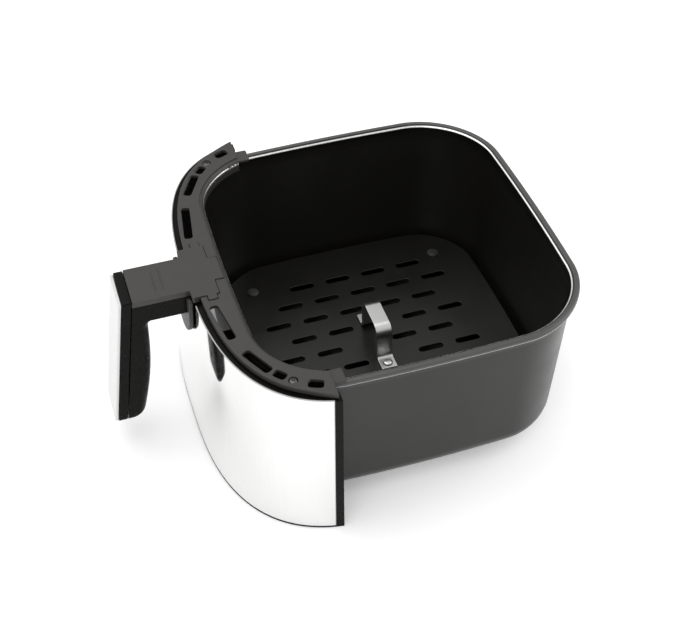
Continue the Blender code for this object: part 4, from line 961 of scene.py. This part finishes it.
def deck_outline():
    """The deck's edge all round, with the T-shaped opening that the arm's cover fills."""
    shares, _ = station_shares(321)
    outer = [panel_point(s, deck_inset(s), SKIN_TOP, DECK_END_Y) for s in shares]
    reach = YOKE_HALF_WIDTH + GAP
    right = [p for p in outer if p[0] > reach]
    front_y = panel_y(reach, DECK_INSET, SKIN_TOP)
    opening = plate_half(GAP, front_y)[::-1]
    opening = opening + [(-x, y) for x, y in reversed(opening)]
    left = [(-x, y) for x, y in reversed(right)]
    inner = front_run(LIP_INSET - LIP_SLOPE, DECK_END_Y, 241)
    return right + opening + left + inner[::-1]


def slot_outlines(grow=0.0):
    """The vent slots' outlines on both sides, grown by a margin."""
    outlines = []
    for sign in (1, -1):
        for x, length, width in SLOTS:
            y = panel_y(x, SLOT_LINE, COLLAR_TOP)
            slope = math.atan((panel_y(x + 1e-4, SLOT_LINE, COLLAR_TOP) - y) / 1e-4)
            shape = slot_outline(length + 2 * grow, width + 2 * grow, 0.0024 + grow)
            outlines.append(placed(shape, x, y, slope, sign))
        y, length, width = END_SLOT
        x = panel_x(y, SLOT_LINE, COLLAR_TOP)
        shape = slot_outline(length + 2 * grow, width + 2 * grow, 0.0026 + grow)
        outlines.append(placed(shape, x, y, math.radians(68), sign))
    return outlines


def build_collar():
    """The deck with its slots, the sloped inner lip, the outer skirt and the lugs over the rim.

    The lip's lower crest has the pale metal finish, a painted highlight that stands in for the bright line on
    the pan's inner bead.
    """
    holes = slot_outlines()
    for sign in (1, -1):
        x, y = sign * COLLAR_SCREW[0], COLLAR_SCREW[1]
        holes.append(arc((x, y), SCREW_HEAD + GAP, 0, 352.5, 47))
    deck = plate_mesh("deck", [deck_outline(), *holes], DECK_WALL,
                      Matrix.Translation((0, 0, COLLAR_TOP - DECK_WALL / 2)), 0.00045)
    piece = add_piece("collar_deck", deck, "grey", "drawer", ["collar"])
    weigh(piece)

    count = 181
    top_run = front_run(LIP_INSET - LIP_SLOPE, DECK_END_Y, count)
    low_run = front_run(LIP_INSET, DECK_END_Y, count)
    back_run = front_run(LIP_INSET - LIP_WALL, DECK_END_Y, count)
    under_run = front_run(LIP_INSET - LIP_SLOPE - 0.0016, DECK_END_Y, count)
    lip_low = PAN_HEIGHT - LIP_DEPTH
    rings = []
    for i in range(count):
        a, b = Vector(top_run[i]), Vector(low_run[i])
        side = b - a
        # (share across the slope, height), rounded where the slope turns down into the lip
        section = [(-0.10, COLLAR_TOP - 0.0018), (-0.10, COLLAR_TOP - 0.0011), (0.10, COLLAR_TOP - 0.0010),
                   (0.30, COLLAR_TOP - 0.0013), (0.80, PAN_HEIGHT + 0.0012), (0.93, PAN_HEIGHT + 0.0006),
                   (0.985, PAN_HEIGHT - 0.0001), (1.0, PAN_HEIGHT - 0.0009), (1.0, lip_low + 0.0006),
                   (0.96, lip_low + 0.0002), (0.86, lip_low)]
        points = [(*(a + side * s), z) for s, z in section]
        points += [(*back_run[i], lip_low + 0.0002), (*back_run[i], DECK_UNDERSIDE + 0.0004),
                   (*under_run[i], DECK_UNDERSIDE + 0.0004), (*under_run[i], COLLAR_TOP - 0.0018)]
        rings.append(points)
    lip_mesh = loft_mesh("collar_lip", rings)
    # The crest band between these heights gets the pale metal finish, a painted highlight line.
    for polygon in lip_mesh.polygons:
        if LIP_HIGHLIGHT_BAND[0] < polygon.center.z - PAN_HEIGHT < LIP_HIGHLIGHT_BAND[1]:
            polygon.material_index = 1
    lip = add_piece("collar_lip", lip_mesh, "grey", "drawer", ["collar"], ["painted_highlight"])
    lip.data.set_sharp_from_angle(angle=math.radians(55))
    soften(lip, 0.0003, 2, 60)
    build_lip_ribs(top_run, low_run)

    shares, _ = station_shares(count)
    rings = []
    for s in shares:
        outer = panel_point(s, deck_inset(s) + 0.0001, SKIN_TOP, DECK_END_Y - 0.0001)
        inner = panel_point(s, deck_inset(s) + SKIRT_WALL, SKIN_TOP, DECK_END_Y - 0.0001)
        high = DECK_UNDERSIDE + 0.0007
        rings.append([(*outer, SKIN_TOP), (*outer, high), (*inner, high), (*inner, SKIN_TOP)])
    skirt_mesh = loft_mesh("collar_skirt", rings)
    reach = YOKE_HALF_WIDTH + GAP
    gate = box_mesh((-reach, panel_y(0, 0, SKIN_TOP) - 0.01, SKIN_TOP - 0.002),
                    (reach, ARM_INNER_Y - 0.004, COLLAR_TOP))
    skirt_mesh = combined(skirt_mesh, [gate], "DIFFERENCE")
    skirt = add_piece("collar_skirt", skirt_mesh, "grey", "drawer", ["collar"])
    soften(skirt, 0.0002, 2, 50)

    outline = mirrored(plate_half(GAP + 0.0005, panel_y(0, DECK_INSET + 0.002, SKIN_TOP)))
    floor = plate_mesh("pocket_floor", [outline], POCKET_FLOOR - DECK_UNDERSIDE,
                       Matrix.Translation((0, 0, (POCKET_FLOOR + DECK_UNDERSIDE) / 2)))
    pocket = add_piece("collar_pocket", floor, "grey", "drawer", ["collar"])
    weigh(pocket)

    for side, sign in (("right", 1), ("left", -1)):
        build_lug(side, sign)


def build_lug(side, sign):
    """The smooth block at each end of the collar that lies on the pan's rim."""
    low_z = PAN_HEIGHT + GAP
    inner_x = front_run(LIP_INSET - LIP_WALL, DECK_END_Y, 41)[0][0] - LIP_WALL / 2
    front, back = DECK_END_Y - LUG_HEIGHT, DECK_END_Y + LUG_LENGTH
    corners = [(inner_x, front), (inner_x + LUG_WIDTH, front), (inner_x + LUG_WIDTH, back), (inner_x, back)]
    outline = [(sign * x, y) for x, y in filleted(corners, [0.0004, 0.0004, 0.0012, 0.0016], 6)]
    middle = Matrix.Translation((0, 0, low_z + LUG_HEIGHT / 2))
    mesh = plate_mesh("lug", [outline], LUG_HEIGHT, middle, 0.0005)
    return weigh(add_piece(f"collar_lug_{side}", mesh, "grey", "drawer", ["collar"]))


def build_lip_ribs(top_run, low_run):
    """Four short ribs down the lip's slope at each end of the deck."""
    for i in range(LIP_RIBS):
        y = DECK_END_Y - LIP_RIB_PITCH * (i + 0.75)
        place = min(range(len(top_run) // 2), key=lambda k: abs(top_run[k][1] - y))
        high = Vector((*top_run[place], COLLAR_TOP - 0.0013))
        low = Vector((*low_run[place], PAN_HEIGHT + 0.0006))
        length = (low - high).length * 0.9
        half = LIP_RIB_WIDTH / 2
        for side, sign in (("right", 1), ("left", -1)):
            way = Vector((sign * (low.x - high.x), low.y - high.y, low.z - high.z)).normalized()
            middle = Vector((sign * (high.x + low.x) / 2, (high.y + low.y) / 2, (high.z + low.z) / 2))
            turn = Matrix.Translation(middle) @ way.to_track_quat("X", "Z").to_matrix().to_4x4()
            mesh = moved(box_mesh((-length / 2, -half, -half), (length / 2, half, half)), turn)
            rib = add_piece(f"lip_rib_{side}_{i}", mesh, "grey", "drawer", ["collar"])
            soften(rib, 0.0002, 2, 50)


# ---- Handle


def build_arm_cover():
    """The cover on the arm: a T-shaped plate on the deck, the yoke over the ledge, two raised ribs."""
    deck_front = panel_y(0, DECK_INSET, SKIN_TOP) - GAP
    root = panel_y(0, 0, SKIN_TOP) - GAP
    plate_low = POCKET_FLOOR + GAP
    yoke = YOKE_HALF_WIDTH
    top_half = plate_half(0, root)
    top_half += [(ARM_HALF_WIDTH, root), (ARM_HALF_WIDTH, SEAM_Y - 0.004)]
    radii = [0.0010, 0.0006, 0.0010, 0.0006, 0.0010, 0.0010, 0.0006, 0.0012, 0.0008, 0]
    outline = filleted(mirrored(top_half), radii + radii[::-1], 5)
    plate = plate_mesh("cover_plate", [outline], ARM_TOP - plate_low,
                       Matrix.Translation((0, 0, (ARM_TOP + plate_low) / 2)))
    step = 0.00004
    lower = filleted(
        mirrored([(yoke - step, deck_front), (yoke - step, root + step), (ARM_HALF_WIDTH - step, root + step),
                  (ARM_HALF_WIDTH - step, SEAM_Y - 0.0045)]), [0, 0.0012, 0.0008, 0, 0, 0.0008, 0.0012, 0], 5)
    slab = plate_mesh("cover_slab", [lower], plate_low + 0.0007 - COVER_BOTTOM,
                      Matrix.Translation((0, 0, (plate_low + 0.0007 + COVER_BOTTOM) / 2)))
    mesh = combined(plate, [slab], "UNION")
    wedge = plate_mesh(
        "seam_cutter", [[(SEAM_Y - 0.02, COVER_BOTTOM - 0.01), (SEAM_Y - 0.02, ARM_TOP + 0.01),
                         (seam_y(ARM_TOP + 0.01) + GAP, ARM_TOP + 0.01),
                         (seam_y(COVER_BOTTOM - 0.01) + GAP, COVER_BOTTOM - 0.01)]], 0.08, SIDE_VIEW)
    mesh = combined(mesh, [wedge], "DIFFERENCE")
    cover = add_piece("cover_slab", mesh, "grey", "drawer", ["arm_cover"])
    soften(cover, 0.00045, 3, 40)
    for i, reach in enumerate(RIB_FROM_SEAM):
        y = SEAM_Y + reach
        section = [(-0.00055, -0.0004), (-0.00050, 0.0), (-0.00035, 0.00022), (0, 0.00033),
                   (0.00035, 0.00022),
                   (0.00050, 0.0), (0.00055, -0.0004)]
        rings = []
        for t in np.linspace(-1, 1, 25):
            shrink = math.sqrt(max(0.0, 1 - max(0.0, (abs(t) - 0.94) / 0.06) ** 2)) * 0.98 + 0.02
            rings.append([(t * RIB_HALF_LENGTH, y + a * shrink, ARM_TOP + (b if b < 0 else b * shrink))
                          for a, b in section])
        add_piece(f"cover_rib_{i}", loft_mesh("rib", rings), "grey", "drawer", ["arm_cover"])


def build_escutcheon():
    top = COVER_BOTTOM - GAP
    lean = math.atan(PANEL_LEAN / (SKIN_TOP - PANEL_BOTTOM))
    front = panel_y(0, 0, top) - GAP - SHIELD_WALL / 2
    place = Matrix.Translation((0, front, top)) @ Matrix.Rotation(math.pi / 2 - lean, 4, "X")
    radius = YOKE_HALF_WIDTH
    low = (SHIELD_BOTTOM - top) / math.cos(lean)
    notch_low = (ARM_BOTTOM - GAP - top) / math.cos(lean)
    reach = ARM_HALF_WIDTH + GAP
    half = [(reach, notch_low), (reach, 0), (radius, 0)] + arc((0, low + radius), radius, 0, -88, 22)
    outline = half + [(-x, y) for x, y in reversed(half)]
    mesh = plate_mesh("shield", [outline], SHIELD_WALL, place, 0.0007)
    shield = add_piece("shield", mesh, "grey", "drawer", ["arm_escutcheon"])
    return weigh(shield)


def grip_back_y(z):
    top = ARM_BOTTOM - ARM_FILLET
    share = min(1, max(0, (top - z) / (top - HANDLE_BOTTOM)))
    depth = GRIP_TOP_DEPTH + GRIP_BULGE * math.sin(math.pi * share)
    back = seam_y(z) + depth
    foot = HANDLE_BOTTOM + GRIP_FOOT_ROUND - z
    if foot > 0:
        back -= GRIP_FOOT_ROUND - math.sqrt(max(0.0, GRIP_FOOT_ROUND**2 - foot**2))
    if z > top:
        rise = min(z - top, ARM_FILLET)
        back = seam_y(top) + GRIP_TOP_DEPTH + ARM_FILLET - math.sqrt(ARM_FILLET**2 - rise**2)
    return back


def grip_half_width(z):
    """Half the grip's width at a height: it rounds in at its foot."""
    foot = max(0.0, HANDLE_BOTTOM + HANDLE_CORNER - z)
    return ARM_HALF_WIDTH - 0.00003 - HANDLE_CORNER + math.sqrt(max(0.0, HANDLE_CORNER**2 - foot**2))


def build_handle_body():
    """The arm and grip in one black moulding, with soft corners down the grip's back."""
    turns = (4, 12, 20, 28, 36, 45, 54, 63, 72, 81, 90)
    foot = [HANDLE_BOTTOM + GRIP_FOOT_ROUND * (1 - math.cos(math.radians(a))) for a in turns]
    top = ARM_BOTTOM - ARM_FILLET
    middle = [foot[-1] + (top - foot[-1]) * i / 26 for i in range(1, 26)]
    flare = [top + ARM_FILLET * math.sin(math.radians(a)) for a in (0, 12, 24, 36, 48, 60, 72, 82)]
    rings = []
    for z in foot + middle + flare + [ARM_BOTTOM + 0.003]:
        front, back = seam_y(z) + 1.5 * GAP, grip_back_y(z)
        if z > ARM_BOTTOM:
            back = grip_back_y(ARM_BOTTOM - 1e-4)
        side = grip_half_width(z)
        corner = min(GRIP_CORNER, 0.8 * (back - front))
        half = [(side, front)] + arc((side - corner, back - corner), corner, 0, 90, 10)
        rings.append([(x, y, z) for x, y in half + [(-x, y) for x, y in reversed(half)]])
    grip = loft_mesh("grip", rings)
    arm = plate_mesh(
        "arm", [[(ARM_INNER_Y - GAP, ARM_BOTTOM), (ARM_INNER_Y - GAP, ARM_CORE_TOP),
                 (seam_y(ARM_CORE_TOP) + GAP, ARM_CORE_TOP), (seam_y(ARM_BOTTOM) + GAP, ARM_BOTTOM)]],
        2 * ARM_HALF_WIDTH, SIDE_VIEW)
    mesh = combined(arm, [grip], "UNION")
    cutters = []
    span = ARM_BOTTOM - HANDLE_BOTTOM
    for share in GRIP_SCREW_SHARES.values():
        z = HANDLE_BOTTOM + share * span
        way = Vector((0, 1, HANDLE_SLOPE)).normalized()
        start = Vector((0, seam_y(z), z)) + way * 0.0095
        reach = SCREW_HEAD + 0.0003
        hole = turned_mesh("sink", [(0, 0.03), (reach, 0.03), (reach, 0), (0, 0)], 32)
        turn = Matrix.Translation(start) @ way.to_track_quat("Z", "Y").to_matrix().to_4x4()
        cutters.append(moved(hole, turn))
    mesh = combined(mesh, cutters, "DIFFERENCE")
    body = add_piece("arm_and_grip", mesh, "black", "drawer", ["handle_body"])
    return soften(body, 0.0007, 3, 38)


def face_outline(inset, top_corner):
    """The handle's outline from the front, with round corners at its foot and small ones at its top."""
    half_width = ARM_HALF_WIDTH - inset
    low = HANDLE_BOTTOM - ARM_TOP + inset
    corner = HANDLE_CORNER - inset
    half = arc((half_width - top_corner, -inset - top_corner), top_corner, 90, 0, 4)
    half += arc((half_width - corner, low + corner), corner, 0, -90, 12)
    return half + [(-x, y) for x, y in reversed(half)]


def build_frame():
    mesh = plate_mesh("front_frame", [face_outline(0, 0.0012)], FRAME_DEPTH - GAP, None, 0.0006)
    mesh.transform(seam_matrix(-FRAME_DEPTH / 2))
    piece = add_piece("front_frame", mesh, "black", "drawer", ["handle_frame"])
    weigh(piece)
    mesh = plate_mesh("front_fascia", [face_outline(FASCIA_INSET, 0.0012)], FASCIA_WALL, None, 0.0006)
    mesh.transform(seam_matrix(-FRAME_DEPTH - FASCIA_WALL / 2 - GAP / 2))
    piece = add_piece("front_fascia", mesh, "silver", "drawer", ["handle_fascia"])
    return weigh(piece)


# ---- Screws


def screw_mesh(head_height, length, radius=0.0014):
    """A pan-head screw with a cross recess, its head's underside at the origin."""
    head = SCREW_HEAD
    profile = [(0, head_height), (head * 0.45, head_height * 0.97), (head * 0.75, head_height * 0.80),
               (head * 0.94, head_height * 0.42), (head, head_height * 0.12), (head * 0.98, 0), (radius, 0),
               (radius, -length), (0, -length - radius)]
    body = turned_mesh("screw", profile, 36)
    arms = []
    for turn in (0, 90):
        bar = box_mesh((-head * 0.52, -head * 0.12, head_height * 0.35),
                       (head * 0.52, head * 0.12, head_height + 0.001))
        arms.append(moved(bar, Matrix.Rotation(math.radians(turn + 20), 4, "Z")))
    mesh = combined(body, arms, "DIFFERENCE")
    mesh.shade_smooth()
    mesh.set_sharp_from_angle(angle=math.radians(40))
    return mesh


def build_screws():
    for side, sign in (("left", -1), ("right", 1)):
        height = SCREW_HEAD_HEIGHT - 2 * GAP
        seat = COLLAR_TOP - SCREW_HEAD_HEIGHT + GAP
        place = Matrix.Translation((sign * COLLAR_SCREW[0], COLLAR_SCREW[1], seat))
        mesh = moved(screw_mesh(height, 0.006), place)
        add_piece(f"deck_screw_{side}", mesh, "oxide", "drawer", [f"collar_screw_{side}"])
    way = Vector((0, 1, HANDLE_SLOPE)).normalized()
    span = ARM_BOTTOM - HANDLE_BOTTOM
    for label, share in GRIP_SCREW_SHARES.items():
        z = HANDLE_BOTTOM + share * span
        start = Vector((0, seam_y(z), z)) + way * (0.0095 + GAP)
        turn = Matrix.Translation(start) @ way.to_track_quat("Z", "Y").to_matrix().to_4x4()
        mesh = moved(screw_mesh(SCREW_HEAD_HEIGHT, 0.009), turn)
        add_piece(f"handle_screw_{label}", mesh, "zinc", "drawer", [f"grip_screw_{label}"])


def finish_cad_nodes():
    """The pieces that stay as the frame has them: coated brackets, plain hidden screws and tang."""
    for name, obj in NODES.items():
        if obj.hide_render:
            continue
        obj.data.materials.clear()
        obj.data.materials.append(MATERIALS["pan" if name.startswith("pan_bracket") else "zinc"])
        if "bracket" in name and "screw" not in name:
            soften(obj, 0.0003, 2, 50)


# ---- Surroundings


def add_area(name, place, aim, size, power, colour=(1, 1, 1), height=None):
    light = bpy.data.lights.new(name, "AREA")
    light.energy = power
    light.color = colour
    light.shape = "RECTANGLE"
    light.size = size
    light.size_y = height or size
    obj = bpy.data.objects.new(name, light)
    obj.location = place
    obj.rotation_euler = (Vector(aim) - Vector(place)).to_track_quat("-Z", "Y").to_euler()
    bpy.context.scene.collection.objects.link(obj)
    return obj


def add_surroundings():
    scene = bpy.context.scene
    scene.view_settings.view_transform = "Standard"
    scene.view_settings.look = "None"

    world = bpy.data.worlds.new("studio")
    world.use_nodes = True
    world.node_tree.nodes["Background"].inputs["Color"].default_value = (1, 1, 1, 1)
    world.node_tree.nodes["Background"].inputs["Strength"].default_value = 0.75
    scene.world = world

    floor_mesh = bpy.data.meshes.new("floor")
    floor_z = CAD_BOX[0][2]
    corners = [(x * FLOOR_REACH, y * FLOOR_REACH, floor_z) for x, y in ((-1, -1), (1, -1), (1, 1), (-1, 1))]
    floor_mesh.from_pydata(corners, [], [(0, 1, 2, 3)])
    material = bpy.data.materials.new("pale_floor")
    material.use_nodes = True
    shader = material.node_tree.nodes["Principled BSDF"]
    shader.inputs["Base Color"].default_value = (0.93, 0.93, 0.93, 1)
    shader.inputs["Roughness"].default_value = 0.9
    shader.inputs["Specular IOR Level"].default_value = 0.1
    shader.inputs["Emission Color"].default_value = (1, 1, 1, 1)
    shader.inputs["Emission Strength"].default_value = 0.22
    floor_mesh.materials.append(material)
    floor = bpy.data.objects.new("floor", floor_mesh)
    scene.collection.objects.link(floor)

    add_area("key", (-0.5, -0.4, 1.5), (0, 0, 0.05), 1.4, 9.0)
    add_area("back", (0.2, 1.3, 1.0), (0, 0, 0.08), 1.2, 9.0)
    add_area("front", (1.2, -1.0, 0.9), (0, 0, 0.05), 0.9, 5.0)


def add_camera():
    back = CAMERA_BACK
    right = Vector((0, 0, 1)).cross(back).normalized()
    up = back.cross(right)
    turned_right = right * math.cos(CAMERA_ROLL) + up * math.sin(CAMERA_ROLL)
    turned_up = -right * math.sin(CAMERA_ROLL) + up * math.cos(CAMERA_ROLL)
    camera = bpy.data.cameras.new("camera")
    camera.lens = CAMERA_LENS
    camera.sensor_width = 36
    camera.shift_x, camera.shift_y = CAMERA_SHIFT
    camera.clip_start = 0.01
    obj = bpy.data.objects.new("camera", camera)
    place = CAMERA_AIM + back * CAMERA_DISTANCE
    matrix = Matrix((turned_right, turned_up, back)).transposed().to_4x4()
    obj.matrix_world = Matrix.Translation(place) @ matrix
    bpy.context.scene.collection.objects.link(obj)
    bpy.context.scene.camera = obj


# ---- The whole scene


def main():
    build_pan()
    build_crisper()
    build_front_shell()
    build_steel_skin()
    build_collar()
    build_arm_cover()
    build_escutcheon()
    build_handle_body()
    build_frame()
    build_screws()
    finish_cad_nodes()
    add_surroundings()
    add_camera()


main()
